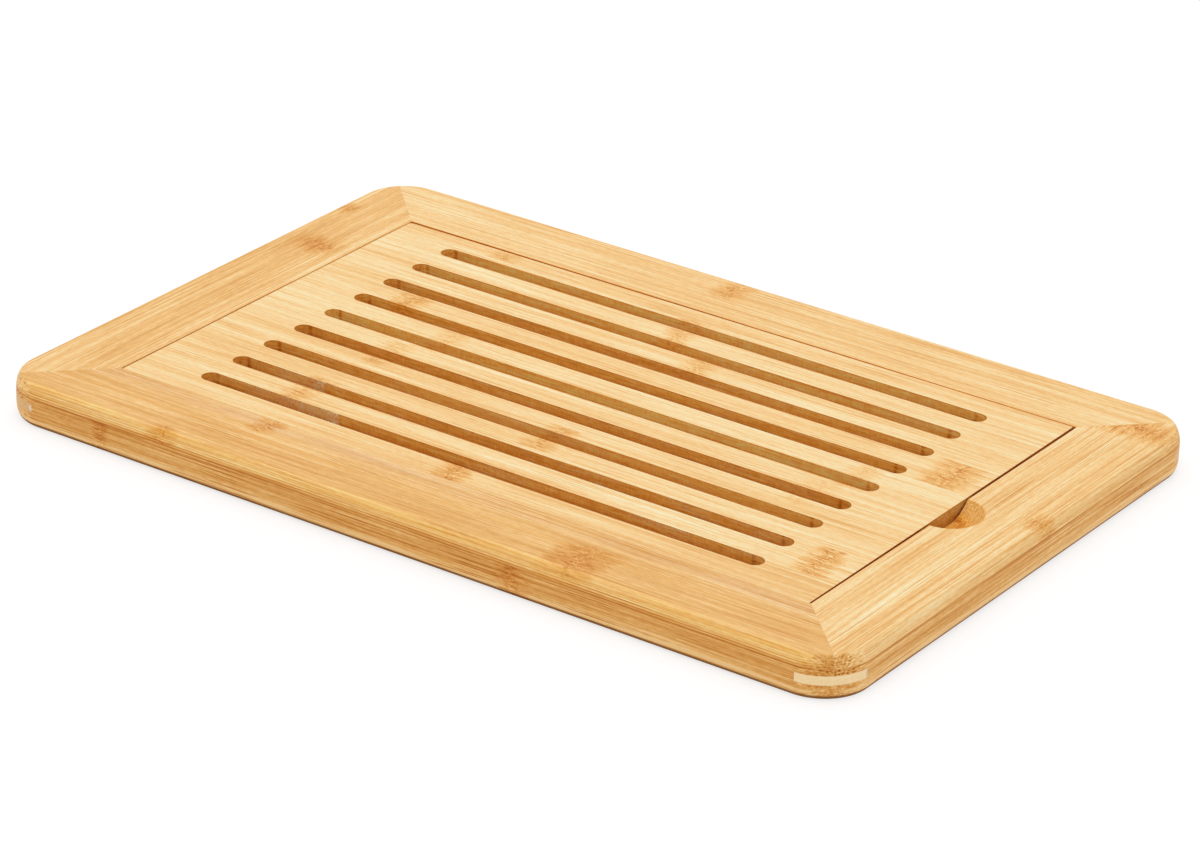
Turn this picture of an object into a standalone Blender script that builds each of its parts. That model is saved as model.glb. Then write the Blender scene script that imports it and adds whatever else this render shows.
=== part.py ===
"""Bamboo bread board: a mitred frame round a crumb tray, with a slotted grid that lifts out.

Metres, +Z up. The origin is on the underside, in the middle of the board. +X runs along the
board towards the finger scoop, and the front long side faces -Y.
"""

import math

import bmesh
import bpy
from mathutils import Matrix, Vector

# Whole board, outside sizes.
BOARD_LENGTH = 0.420
BOARD_WIDTH = 0.276
BOARD_THICKNESS = 0.019
CORNER_RADIUS = 0.022

# The outer edge bulges: a tall shoulder above, a shorter heel below.
SHOULDER_RUN = 0.003
SHOULDER_DROP = 0.0073
HEEL_RUN = 0.0026
HEEL_RISE = 0.0059

# Clearance left between pieces that are glued or rest on each other.
FIT_GAP = 0.0003

# Frame: each rail is a top lamella glued on a base bar. The base bar is rebated for the grid's rim.
RAIL_WIDTH = 0.0375
RAIL_TOP_THICKNESS = 0.0052
LEDGE_WIDTH = 0.008

# Grid: a single layer of staves, its top level with the rails. Trimming the glued panel to width
# has left only a share of the first and the last stave.
GRID_THICKNESS = 0.0064
GRID_END_PLAY = 0.0012
GRID_SIDE_PLAY = 0.001
GRID_CORNER_RADIUS = 0.002
GRID_STAVES = 9
FRONT_STAVE_SHARE = 0.82
BACK_STAVE_SHARE = 0.40

# Crumb slots through the grid, with lands of equal width between and beside them.
SLOT_COUNT = 9
SLOT_WIDTH = 0.0082
SLOT_END_MARGIN = 0.0312
SLOT_ROW_SHIFT = -0.0009

# Tray floor: whole staves, glued up under the ledge.
FLOOR_STAVES = 8
FLOOR_THICKNESS = 0.004
FLOOR_LIFT = 0.0021
FLOOR_LAP = 0.005

# Loose tongue that locks each mitre, its end showing at the rounded corner.
TONGUE_THICKNESS = 0.0039
TONGUE_WIDTH = 0.0286
TONGUE_REACH = 0.040
TONGUE_DEPTH = 0.0082

# Finger scoop: a round dish in the right rail's inner edge.
SCOOP_RADIUS = 0.0147
SCOOP_DEPTH = 0.0063

# Fineness of the round shapes, and how far a cutter runs past what it cuts.
CORNER_STEPS = 12
EDGE_STEPS = 6
SLOT_END_STEPS = 12
SCOOP_SEGMENTS = 64
SCOOP_RINGS = 48
NARROWEST_BAND = 0.0001
OVERRUN = 0.005

# Heights of the layers, from the sizes above.
RAIL_TOP_UNDERSIDE = BOARD_THICKNESS - RAIL_TOP_THICKNESS
BASE_TOP = RAIL_TOP_UNDERSIDE - FIT_GAP
GRID_UNDERSIDE = BOARD_THICKNESS - GRID_THICKNESS
LEDGE_TOP = GRID_UNDERSIDE - FIT_GAP
FLOOR_TOP = FLOOR_LIFT + FLOOR_THICKNESS
LEDGE_UNDERSIDE = FLOOR_TOP + FIT_GAP

# Plan sizes that follow from the frame.
HALF_LENGTH = BOARD_LENGTH / 2
HALF_WIDTH = BOARD_WIDTH / 2
OPENING_X = HALF_LENGTH - RAIL_WIDTH
OPENING_Y = HALF_WIDTH - RAIL_WIDTH
WELL_X = OPENING_X - LEDGE_WIDTH
WELL_Y = OPENING_Y - LEDGE_WIDTH
SEAT_X = WELL_X + FLOOR_LAP
SEAT_Y = WELL_Y + FLOOR_LAP
GRID_LEFT = -OPENING_X + FIT_GAP
GRID_RIGHT = OPENING_X - GRID_END_PLAY
GRID_FRONT = -OPENING_Y + FIT_GAP
GRID_BACK = OPENING_Y - GRID_SIDE_PLAY

# Sides of the frame, each with the turn that carries it from the front.
RAIL_SIDES = ("front", "right", "back", "left")
CORNERS = {"front_left": (-1, -1), "front_right": (1, -1), "back_right": (1, 1), "back_left": (-1, 1)}

# Finishes: name, linear colour, roughness.
RAIL_BAMBOO = ("rail_bamboo", (0.78, 0.47, 0.18, 1.0), 0.45)
GRID_BAMBOO = ("grid_bamboo", (0.84, 0.58, 0.27, 1.0), 0.48)
FLOOR_BAMBOO = ("floor_bamboo", (0.80, 0.53, 0.24, 1.0), 0.55)
TONGUE_WOOD = ("tongue_wood", (0.84, 0.65, 0.38, 1.0), 0.55)


def clear_scene():
    """Removes every object of the scene that the script starts in."""
    for obj in list(bpy.data.objects):
        bpy.data.objects.remove(obj, do_unlink=True)


def finish(name, colour, roughness):
    """A plain wood finish of that linear colour."""
    made = bpy.data.materials.new(name)
    made.use_nodes = True
    shader = made.node_tree.nodes["Principled BSDF"]
    shader.inputs["Base Color"].default_value = colour
    shader.inputs["Roughness"].default_value = roughness
    shader.inputs["Metallic"].default_value = 0.0
    return made


def arc(centre, radius, start, end, steps):
    """Points along an arc in plan, from one angle to another, both ends included."""
    points = []
    for i in range(steps + 1):
        angle = start + (end - start) * i / steps
        points.append((centre[0] + radius * math.cos(angle), centre[1] + radius * math.sin(angle)))
    return points


def rounded_outline(low, high, radius, steps, corners=(True, True, True, True)):
    """Rectangle in plan from corner low to corner high, its chosen corners rounded.

    The corners run anticlockwise from the front left one.
    """
    places = ((low[0], low[1]), (high[0], low[1]), (high[0], high[1]), (low[0], high[1]))
    inward = ((1, 1), (-1, 1), (-1, -1), (1, -1))
    points = []
    for i, (place, turn) in enumerate(zip(places, inward)):
        if corners[i]:
            centre = (place[0] + turn[0] * radius, place[1] + turn[1] * radius)
            start = math.pi + i * math.pi / 2
            points += arc(centre, radius, start, start + math.pi / 2, steps)
        else:
            points.append(place)
    return points


def edge_run(height):
    """How far the board's outer face has drawn in at that height above the underside."""
    shoulder = BOARD_THICKNESS - SHOULDER_DROP
    if height > shoulder:
        share = min(1.0, (height - shoulder) / SHOULDER_DROP)
        return SHOULDER_RUN * (1 - math.sqrt(1 - share * share))
    if height < HEEL_RISE:
        share = (HEEL_RISE - height) / HEEL_RISE
        return HEEL_RUN * (1 - math.sqrt(1 - share * share))
    return 0.0


def edge_heights(low, high):
    """Heights at which a layer of the frame gets an outline: its faces, and steps on both curves."""
    steps = []
    for i in range(EDGE_STEPS):
        rise = math.sin(math.pi / 2 * i / EDGE_STEPS)
        steps.append(BOARD_THICKNESS - SHOULDER_DROP + SHOULDER_DROP * rise)
        steps.append(HEEL_RISE - HEEL_RISE * rise)
    heights = [low]
    for step in sorted(steps):
        if heights[-1] + NARROWEST_BAND < step < high - NARROWEST_BAND:
            heights.append(step)
    return heights + [high]


def mesh_from(name, form):
    """Turns a bmesh into a mesh, its faces pointing outwards."""
    bmesh.ops.recalc_face_normals(form, faces=form.faces)
    mesh = bpy.data.meshes.new(name)
    form.to_mesh(mesh)
    form.free()
    return mesh


def layer_blank(name, low, high):
    """Solid slice of the whole board between two heights, with its rounded corners and edge."""
    form = bmesh.new()
    loops = []
    for height in edge_heights(low, high):
        run = edge_run(height)
        corner = (HALF_LENGTH - run, HALF_WIDTH - run)
        outline = rounded_outline((-corner[0], -corner[1]), corner, CORNER_RADIUS - run, CORNER_STEPS)
        loops.append([form.verts.new((x, y, height)) for x, y in outline])
    for below, above in zip(loops, loops[1:]):
        for i in range(len(below)):
            j = (i + 1) % len(below)
            form.faces.new((below[i], below[j], above[j], above[i]))
    form.faces.new(loops[0])
    form.faces.new(loops[-1])
    return mesh_from(name, form)


def prism(name, outlines, low, high):
    """Upright prisms on one or more outlines, between two heights."""
    form = bmesh.new()
    for outline in outlines:
        base = form.faces.new([form.verts.new((x, y, low)) for x, y in outline])
        raised = bmesh.ops.extrude_face_region(form, geom=[base])
        top = [v for v in raised["geom"] if isinstance(v, bmesh.types.BMVert)]
        bmesh.ops.translate(form, verts=top, vec=Vector((0, 0, high - low)))
    return mesh_from(name, form)


def place(name, mesh, material=None, location=(0, 0, 0), turn=0.0, parent=None):
    """Adds an object with that mesh, turned about +Z and moved to its place."""
    obj = bpy.data.objects.new(name, mesh)
    bpy.context.scene.collection.objects.link(obj)
    obj.location = location
    obj.rotation_euler = (0, 0, turn)
    if material is not None and not mesh.materials:
        mesh.materials.append(material)
    if parent is not None:
        obj.parent = parent
    return obj


def cutter(name, mesh, location=(0, 0, 0), turn=0.0):
    """Adds a shape that only cuts others."""
    obj = place(name, mesh, location=location, turn=turn)
    obj.hide_render = True
    obj.display_type = "WIRE"
    return obj


def cut(obj, tool, operation="DIFFERENCE"):
    """Cuts an object with a tool, or keeps only what lies inside it."""
    step = obj.modifiers.new(tool.name, "BOOLEAN")
    step.operation = operation
    step.object = tool
    step.solver = "EXACT"


def soften(obj, angle):
    """Shades the round faces smooth and keeps edges past that angle sharp."""
    obj.data.shade_smooth()
    obj.data.set_sharp_from_angle(angle=angle)


def rectangle(half_x, half_y):
    """Outline of a rectangle about the middle of the board."""
    return [(-half_x, -half_y), (half_x, -half_y), (half_x, half_y), (-half_x, half_y)]


def mitre_wedge(side):
    """Outline of one side's share of the board, half a gap inside both of its mitre lines."""
    half_gap = FIT_GAP / 2 * math.sqrt(2)
    along, out = (HALF_LENGTH, HALF_WIDTH) if side in ("front", "back") else (HALF_WIDTH, HALF_LENGTH)
    depth = RAIL_WIDTH + LEDGE_WIDTH + OVERRUN
    wide = along + OVERRUN - half_gap
    narrow = along - depth - half_gap
    outline = [(-wide, -out - OVERRUN), (wide, -out - OVERRUN), (narrow, -out + depth), (-narrow, -out + depth)]
    turn = Matrix.Rotation(RAIL_SIDES.index(side) * math.pi / 2, 2)
    return [tuple(turn @ Vector(point)) for point in outline]


def tongue_place(corner):
    """Middle of a tongue in plan, on the diagonal of its corner, and the turn of that diagonal."""
    sign_x, sign_y = CORNERS[corner]
    back = TONGUE_REACH / 2 / math.sqrt(2)
    middle = (sign_x * (HALF_LENGTH - back), sign_y * (HALF_WIDTH - back))
    return middle, math.atan2(sign_y, sign_x)


def tongue_box(name, gap):
    """Box of a tongue, or with a gap of the mortise round it, its outer end past the board's corner."""
    half_reach = TONGUE_REACH / 2 + gap
    half_width = TONGUE_WIDTH / 2 + gap
    top = BOARD_THICKNESS - TONGUE_DEPTH + gap
    bottom = BOARD_THICKNESS - TONGUE_DEPTH - TONGUE_THICKNESS - gap
    outline = [
        (-half_reach, -half_width),
        (half_reach, -half_width),
        (half_reach, half_width),
        (-half_reach, half_width),
    ]
    return prism(name, [outline], bottom, top)


def build_frame():
    """The four rails, each a top lamella on a base bar, and the tongues that lock their mitres."""
    bamboo = finish(*RAIL_BAMBOO)
    pale = finish(*TONGUE_WOOD)
    top_blank = layer_blank("top_blank", RAIL_TOP_UNDERSIDE, BOARD_THICKNESS)
    base_blank = layer_blank("base_blank", 0.0, BASE_TOP)

    opening = rectangle(OPENING_X, OPENING_Y)
    well = rectangle(WELL_X, WELL_Y)
    seat = rectangle(SEAT_X, SEAT_Y)
    above = BOARD_THICKNESS + OVERRUN
    opening_cut = cutter("opening_cut", prism("opening_cut", [opening], LEDGE_TOP, above))
    well_cut = cutter("well_cut", prism("well_cut", [well], -OVERRUN, above))
    seat_cut = cutter("seat_cut", prism("seat_cut", [seat], -OVERRUN, LEDGE_UNDERSIDE))

    sphere_radius = (SCOOP_RADIUS**2 + SCOOP_DEPTH**2) / (2 * SCOOP_DEPTH)
    dish = bmesh.new()
    bmesh.ops.create_uvsphere(
        dish, u_segments=SCOOP_SEGMENTS, v_segments=SCOOP_RINGS, radius=sphere_radius
    )
    dish_middle = (OPENING_X, 0.0, BOARD_THICKNESS - SCOOP_DEPTH + sphere_radius)
    scoop_cut = cutter("scoop_cut", mesh_from("scoop_cut", dish), location=dish_middle)

    mortise_mesh = tongue_box("mortise", FIT_GAP)
    tongue_mesh = tongue_box("tongue", 0.0)
    outside = cutter("outside", base_blank)
    mortises = {}
    for corner in CORNERS:
        middle, turn = tongue_place(corner)
        mortises[corner] = cutter(f"{corner}_mortise", mortise_mesh, location=(*middle, 0), turn=turn)
        tongue = place(f"{corner}_tongue", tongue_mesh, pale, location=(*middle, 0), turn=turn)
        cut(tongue, outside, "INTERSECT")

    for side in RAIL_SIDES:
        wedge = cutter(f"{side}_wedge", prism(f"{side}_wedge", [mitre_wedge(side)], -OVERRUN, above))
        lamella = place(f"{side}_rail_top", top_blank.copy(), bamboo)
        cut(lamella, wedge, "INTERSECT")
        cut(lamella, opening_cut)
        base = place(f"{side}_rail_base", base_blank.copy(), bamboo)
        cut(base, wedge, "INTERSECT")
        cut(base, opening_cut)
        cut(base, well_cut)
        cut(base, seat_cut)
        for corner, mortise in mortises.items():
            if side in corner.split("_"):
                cut(base, mortise)
        if side == "right":
            cut(lamella, scoop_cut)
            cut(base, scoop_cut)
        soften(lamella, math.radians(30))
        soften(base, math.radians(30))


def stave_edges(front, back, count, first_share=1.0, last_share=1.0):
    """Front and back face of each stave of a panel, a gap apart; the end ones may be part staves."""
    width = (back - front) / (count - 2 + first_share + last_share)
    lines = [front]
    for i in range(count - 1):
        lines.append(front + (first_share + i) * width)
    lines.append(back)
    half_gap = FIT_GAP / 2
    staves = []
    for i, (low, high) in enumerate(zip(lines, lines[1:])):
        low_gap = 0.0 if i == 0 else half_gap
        high_gap = 0.0 if i == count - 1 else half_gap
        staves.append((low + low_gap, high - high_gap))
    return staves


def slot_outlines(middle_x, middle_y):
    """Outlines of the crumb slots about the grid's middle, each a bar with round ends."""
    grid_length = GRID_RIGHT - GRID_LEFT
    grid_width = GRID_BACK - GRID_FRONT
    land = (grid_width - SLOT_COUNT * SLOT_WIDTH) / (SLOT_COUNT + 1)
    radius = SLOT_WIDTH / 2
    half_run = grid_length / 2 - SLOT_END_MARGIN - radius
    outlines = []
    for i in range(SLOT_COUNT):
        y = middle_y + (i - (SLOT_COUNT - 1) / 2) * (SLOT_WIDTH + land)
        right = arc((middle_x + half_run, y), radius, -math.pi / 2, math.pi / 2, SLOT_END_STEPS)
        left = arc((middle_x - half_run, y), radius, math.pi / 2, 3 * math.pi / 2, SLOT_END_STEPS)
        outlines.append(right + left)
    return outlines


def build_grid():
    """The slotted grid, stave by stave, on an empty that stands on the axis along which it lifts."""
    bamboo = finish(*GRID_BAMBOO)
    middle_x = (GRID_LEFT + GRID_RIGHT) / 2
    middle_y = (GRID_FRONT + GRID_BACK) / 2
    lift = bpy.data.objects.new("grid_lift_axis", None)
    bpy.context.scene.collection.objects.link(lift)
    lift.location = (middle_x, middle_y, GRID_UNDERSIDE)

    slots = slot_outlines(middle_x + SLOT_ROW_SHIFT, middle_y)
    above = BOARD_THICKNESS + OVERRUN
    slot_cut = cutter("slot_cut", prism("slot_cut", slots, LEDGE_TOP - OVERRUN, above))

    half_length = (GRID_RIGHT - GRID_LEFT) / 2
    staves = stave_edges(GRID_FRONT, GRID_BACK, GRID_STAVES, FRONT_STAVE_SHARE, BACK_STAVE_SHARE)
    for i, (low, high) in enumerate(staves):
        front_most = i == 0
        back_most = i == GRID_STAVES - 1
        half_width = (high - low) / 2
        outline = rounded_outline(
            (-half_length, -half_width),
            (half_length, half_width),
            GRID_CORNER_RADIUS,
            EDGE_STEPS,
            corners=(front_most, front_most, back_most, back_most),
        )
        name = f"grid_stave_{i + 1}"
        stave = place(
            name,
            prism(name, [outline], 0.0, GRID_THICKNESS),
            bamboo,
            location=(0, (low + high) / 2 - middle_y, 0),
            parent=lift,
        )
        cut(stave, slot_cut)


def build_floor():
    """The tray floor's staves, their rim under the ledge."""
    bamboo = finish(*FLOOR_BAMBOO)
    half_length = SEAT_X - FIT_GAP
    half_width = SEAT_Y - FIT_GAP
    for i, (low, high) in enumerate(stave_edges(-half_width, half_width, FLOOR_STAVES)):
        name = f"floor_stave_{i + 1}"
        outline = rectangle(half_length, (high - low) / 2)
        mesh = prism(name, [outline], 0.0, FLOOR_THICKNESS)
        place(name, mesh, bamboo, location=(0, (low + high) / 2, FLOOR_LIFT))


def main():
    """Builds the whole board."""
    clear_scene()
    build_frame()
    build_floor()
    build_grid()


main()
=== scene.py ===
"""Bread board of laminated bamboo: four mitred rails round a crumb tray, and a slotted grid that lifts out.

Every length is in metres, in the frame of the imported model, unless its name ends in _mm.
"""

import logging
import math
from contextlib import contextmanager
from dataclasses import dataclass, replace
from enum import Enum
from typing import Callable, Iterator, Sequence, Union

import bmesh
import bpy
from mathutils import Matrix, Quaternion, Vector


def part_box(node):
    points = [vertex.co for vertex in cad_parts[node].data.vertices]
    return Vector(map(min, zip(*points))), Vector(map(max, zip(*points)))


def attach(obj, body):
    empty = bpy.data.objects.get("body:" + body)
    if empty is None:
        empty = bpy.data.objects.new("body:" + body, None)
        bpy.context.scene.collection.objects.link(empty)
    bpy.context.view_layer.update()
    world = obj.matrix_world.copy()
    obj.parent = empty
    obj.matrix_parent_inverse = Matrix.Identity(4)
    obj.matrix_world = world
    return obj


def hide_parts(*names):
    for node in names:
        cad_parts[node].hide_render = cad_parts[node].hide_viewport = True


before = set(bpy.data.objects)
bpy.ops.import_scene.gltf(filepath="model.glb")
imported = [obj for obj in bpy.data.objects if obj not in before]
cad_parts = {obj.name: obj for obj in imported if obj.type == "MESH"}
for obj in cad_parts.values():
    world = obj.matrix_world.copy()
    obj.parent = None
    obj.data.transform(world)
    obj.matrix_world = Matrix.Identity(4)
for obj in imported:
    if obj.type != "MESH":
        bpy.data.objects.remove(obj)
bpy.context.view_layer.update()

LOG = logging.getLogger("bread_board")

MM = 0.001
MM_PER_METRE = 1000.0
PLANE_TOLERANCE = 1e-6
CUT_TOLERANCE = PLANE_TOLERANCE / 10
FLAT_NORMAL = 0.999
SMOOTH_ANGLE = math.radians(32.0)
FLAT_WEIGHT = 60
JOINT_HAIR = 0.001 * MM
CLOSE = 0.01 * MM
FAR_ENDS_MM = 100.0
SEED_STEPS = (3.17, 7.43, 5.29)
MIX_INPUTS = (0, 6, 7)
MIX_OUTPUT = 2

Socket = bpy.types.NodeSocket
Feed = Union[float, Sequence[float], Socket]
Colour = tuple[float, float, float]

WHITE: Colour = (1.0, 1.0, 1.0)
HONEY: Colour = (1.0, 0.89, 0.56)
ASH: Colour = (0.935, 0.925, 1.10)


class Side(Enum):
    """The four rails, named as seen from the front."""

    FRONT = "front"
    RIGHT = "right"
    BACK = "back"
    LEFT = "left"


class Corner(Enum):
    """The four corners, each with the signs of its x and y."""

    FRONT_LEFT = ("front_left", -1, -1)
    FRONT_RIGHT = ("front_right", 1, -1)
    BACK_RIGHT = ("back_right", 1, 1)
    BACK_LEFT = ("back_left", -1, 1)

    @property
    def label(self) -> str:
        """The corner's name in plain words."""
        return self.value[0]

    @property
    def outward(self) -> Vector:
        """The signs of the corner's x and y, as a direction in the plane."""
        return Vector((self.value[1], self.value[2], 0.0))


class Grain(Enum):
    """The way that the fibres of a strip run."""

    ALONG_X = "x"
    ALONG_Y = "y"


class Layer(Enum):
    """The two lamellae that each rail is glued up from."""

    UPPER = "upper"
    LOWER = "lower"


def deselect_all() -> None:
    """Deselects every object, the frame's nodes among them."""
    bpy.ops.object.select_all(action="DESELECT")


def take_up(piece: bpy.types.Object) -> None:
    """Makes a piece the only selected object and the active one.

    Args:
        piece: The object to work on.
    """
    deselect_all()
    piece.select_set(True)
    bpy.context.view_layer.objects.active = piece


@contextmanager
def edit_mode(piece: bpy.types.Object) -> Iterator[bpy.types.Object]:
    """Opens a piece in edit mode with nothing selected, and closes it again.

    Args:
        piece: The mesh object to shape.

    Yields:
        The same object.
    """
    take_up(piece)
    bpy.ops.object.mode_set(mode="EDIT")
    bpy.ops.mesh.select_all(action="DESELECT")
    yield piece
    bpy.ops.object.mode_set(mode="OBJECT")


def pick_edges(piece: bpy.types.Object, rule: Callable[[bmesh.types.BMEdge], bool]) -> int:
    """Selects, in edit mode, the edges that a rule names and no others.

    Args:
        piece: The mesh object that is open in edit mode.
        rule: Says whether an edge is wanted.

    Returns:
        How many edges were selected.
    """
    bpy.ops.mesh.select_mode(type="EDGE")
    bpy.ops.mesh.select_all(action="DESELECT")
    mesh = bmesh.from_edit_mesh(piece.data)
    mesh.normal_update()
    wanted = [edge for edge in mesh.edges if rule(edge)]
    for edge in wanted:
        edge.select_set(True)
    bmesh.update_edit_mesh(piece.data)
    return len(wanted)


def at_height(edge: bmesh.types.BMEdge, height: float) -> bool:
    """Says whether both ends of an edge lie at a height."""
    return all(abs(vert.co.z - height) < PLANE_TOLERANCE for vert in edge.verts)


def is_upright(edge: bmesh.types.BMEdge) -> bool:
    """Says whether an edge stands straight up."""
    first, second = edge.verts
    return (first.co.xy - second.co.xy).length < PLANE_TOLERANCE


def stands_at(edge: bmesh.types.BMEdge, corner: Corner) -> bool:
    """Says whether an edge stands on a corner's side of both middle lines."""
    place = edge.verts[0].co
    return place.x * corner.outward.x > 0.0 and place.y * corner.outward.y > 0.0


def pick_uprights(piece: bpy.types.Object, corners: Sequence[Corner]) -> int:
    """Selects, in edit mode, the upright edges at some of the corners, and says how many there are."""
    return pick_edges(
        piece, lambda edge: is_upright(edge) and any(stands_at(edge, corner) for corner in corners)
    )


def is_arris(edge: bmesh.types.BMEdge, height: float) -> bool:
    """Says whether an edge is where a flat top at a height turns sharply down.

    Args:
        edge: The edge to judge.
        height: The height of the flat top.

    Returns:
        True if one of its faces lies flat and the edge is sharp.
    """
    if not at_height(edge, height) or len(edge.link_faces) != 2:
        return False
    flat = [face for face in edge.link_faces if face.normal.z > FLAT_NORMAL]
    return len(flat) == 1 and edge.calc_face_angle(0.0) > SMOOTH_ANGLE


def add_box(name: str, low: Vector, high: Vector) -> bpy.types.Object:
    """Adds a box between two corners, with its place in its mesh.

    Args:
        name: The object's name.
        low: The lowest corner.
        high: The highest corner.

    Returns:
        The new object.
    """
    deselect_all()
    bpy.ops.mesh.primitive_cube_add(size=1.0, location=(low + high) / 2, scale=high - low)
    box = bpy.context.active_object
    box.name = name
    bpy.ops.object.transform_apply(location=True, rotation=True, scale=True)
    return box


def copy_piece(source: bpy.types.Object, name: str) -> bpy.types.Object:
    """Copies a piece with a mesh of its own.

    Args:
        source: The piece to copy.
        name: The copy's name.

    Returns:
        The copy.
    """
    take_up(source)
    bpy.ops.object.duplicate(linked=False)
    twin = bpy.context.active_object
    twin.name = name
    return twin


def discard(piece: bpy.types.Object) -> None:
    """Deletes a helper such as a cutter or a blank."""
    bpy.data.objects.remove(piece, do_unlink=True)


def join_pieces(pieces: Sequence[bpy.types.Object], name: str) -> bpy.types.Object:
    """Joins several objects into one.

    Args:
        pieces: The objects, the first of which receives the others.
        name: The joined object's name.

    Returns:
        The joined object.
    """
    take_up(pieces[0])
    for piece in pieces[1:]:
        piece.select_set(True)
    bpy.ops.object.join()
    joined = bpy.context.active_object
    joined.name = name
    return joined


def cut_with(piece: bpy.types.Object, cutter: bpy.types.Object, operation: str = "DIFFERENCE") -> None:
    """Cuts a piece with another one, which is then discarded.

    Args:
        piece: The piece to cut.
        cutter: The tool's shape.
        operation: The Boolean modifier's operation.
    """
    take_up(piece)
    modifier = piece.modifiers.new("cut", "BOOLEAN")
    modifier.operation = operation
    modifier.solver = "EXACT"
    modifier.object = cutter
    bpy.ops.object.modifier_apply(modifier=modifier.name)
    discard(cutter)


def saw(piece: bpy.types.Object, point: Vector, kept: Vector) -> None:
    """Saws a piece along a plane, closes the cut and drops the far side.

    Args:
        piece: The piece to saw.
        point: A point on the plane.
        kept: The direction from the plane towards the side that stays.
    """
    with edit_mode(piece):
        bpy.ops.mesh.select_all(action="SELECT")
        bpy.ops.mesh.bisect(
            plane_co=point + kept.normalized() * JOINT_HAIR,
            plane_no=kept,
            use_fill=True,
            clear_inner=True,
            threshold=CUT_TOLERANCE,
        )


def is_at_front(edge: bmesh.types.BMEdge, front: float) -> bool:
    """Says whether an edge runs along the front line, where the grid sits tight against its rail."""
    return all(abs(vert.co.y - front) < CLOSE for vert in edge.verts)


def ease_arrises(
    piece: bpy.types.Object,
    height: float,
    reach: float,
    segments: int,
    rule: Callable[[bmesh.types.BMEdge], bool] = lambda edge: True,
) -> int:
    """Softens the sharp edges round the openings in a flat top.

    Args:
        piece: The piece to soften.
        height: The height of its flat top.
        reach: The width of the softened edge.
        segments: How many facets round it.
        rule: Says which of those edges are wanted.

    Returns:
        How many edges were softened.
    """
    with edit_mode(piece):
        count = pick_edges(piece, lambda edge: is_arris(edge, height) and rule(edge))
        bpy.ops.mesh.bevel(offset=reach, segments=segments, affect="EDGES", clamp_overlap=True)
    return count


def polish(piece: bpy.types.Object) -> None:
    """Shades a piece smooth on its curves and keeps its flats flat."""
    take_up(piece)
    bpy.ops.object.shade_smooth_by_angle(angle=SMOOTH_ANGLE)
    modifier = piece.modifiers.new("flats", "WEIGHTED_NORMAL")
    modifier.weight = FLAT_WEIGHT
    modifier.keep_sharp = True
    bpy.ops.object.modifier_apply(modifier=modifier.name)


def hand_over(
    piece: bpy.types.Object, body: str, node: str, material: bpy.types.Material
) -> None:
    """Gives a finished piece its material and its place in the frame, and reports it.

    Args:
        piece: The finished piece.
        body: The body that it moves with.
        node: The plain solid that it stands for.
        material: The finish.
    """
    piece.data.materials.clear()
    piece.data.materials.append(material)
    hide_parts(node)
    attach(piece, body)
    LOG.info("%s: %d faces, stands for %s", piece.name, len(piece.data.polygons), node)


def span(nodes: Sequence[str]) -> tuple[Vector, Vector]:
    """The lowest and the highest corner of the box round several nodes of the frame."""
    lows, highs = zip(*(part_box(node) for node in nodes))
    return Vector(map(min, zip(*lows))), Vector(map(max, zip(*highs)))


def stave_nodes(name: str, count: int) -> list[str]:
    """The names of the numbered nodes that a panel's staves stand for, from the front."""
    return [f"{name}_{number + 1}" for number in range(count)]


def joint_planes(nodes: Sequence[str]) -> list[Vector]:
    """The glue lines between neighbouring strips, at the middle of the gaps between their nodes.

    Args:
        nodes: The strips' nodes, from the front.

    Returns:
        A point on each line, one fewer than the strips.
    """
    boxes = [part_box(node) for node in nodes]
    middles = [(front[1].y + back[0].y) / 2 for front, back in zip(boxes, boxes[1:])]
    return [Vector((0.0, middle, 0.0)) for middle in middles]


def rip(panel: bpy.types.Object, lines: Sequence[Vector], name: str) -> list[bpy.types.Object]:
    """Rips a panel along its glue lines into separate strips.

    Args:
        panel: The panel, which is discarded.
        lines: A point on each glue line, from the front.
        name: What the strips are called, before their numbers.

    Returns:
        The strips, from the front.
    """
    back = Vector((0.0, 1.0, 0.0))
    strips = []
    for number in range(len(lines) + 1):
        strip = copy_piece(panel, f"{name}_{number + 1}")
        if number > 0:
            saw(strip, lines[number - 1], back)
        if number < len(lines):
            saw(strip, lines[number], -back)
        strips.append(strip)
    discard(panel)
    return strips


@dataclass(frozen=True)
class Ease:
    """A smooth step of a value, from low at start to high at end."""

    start: float
    end: float
    low: float = 0.0
    high: float = 1.0


@dataclass(frozen=True)
class Pattern:
    """A cloudy pattern: its size in millimetres along, across and up, its own seed and its fineness."""

    size_mm: tuple[float, float, float]
    seed: float
    detail: float = 2.0
    roughness: float = 0.5


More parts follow.
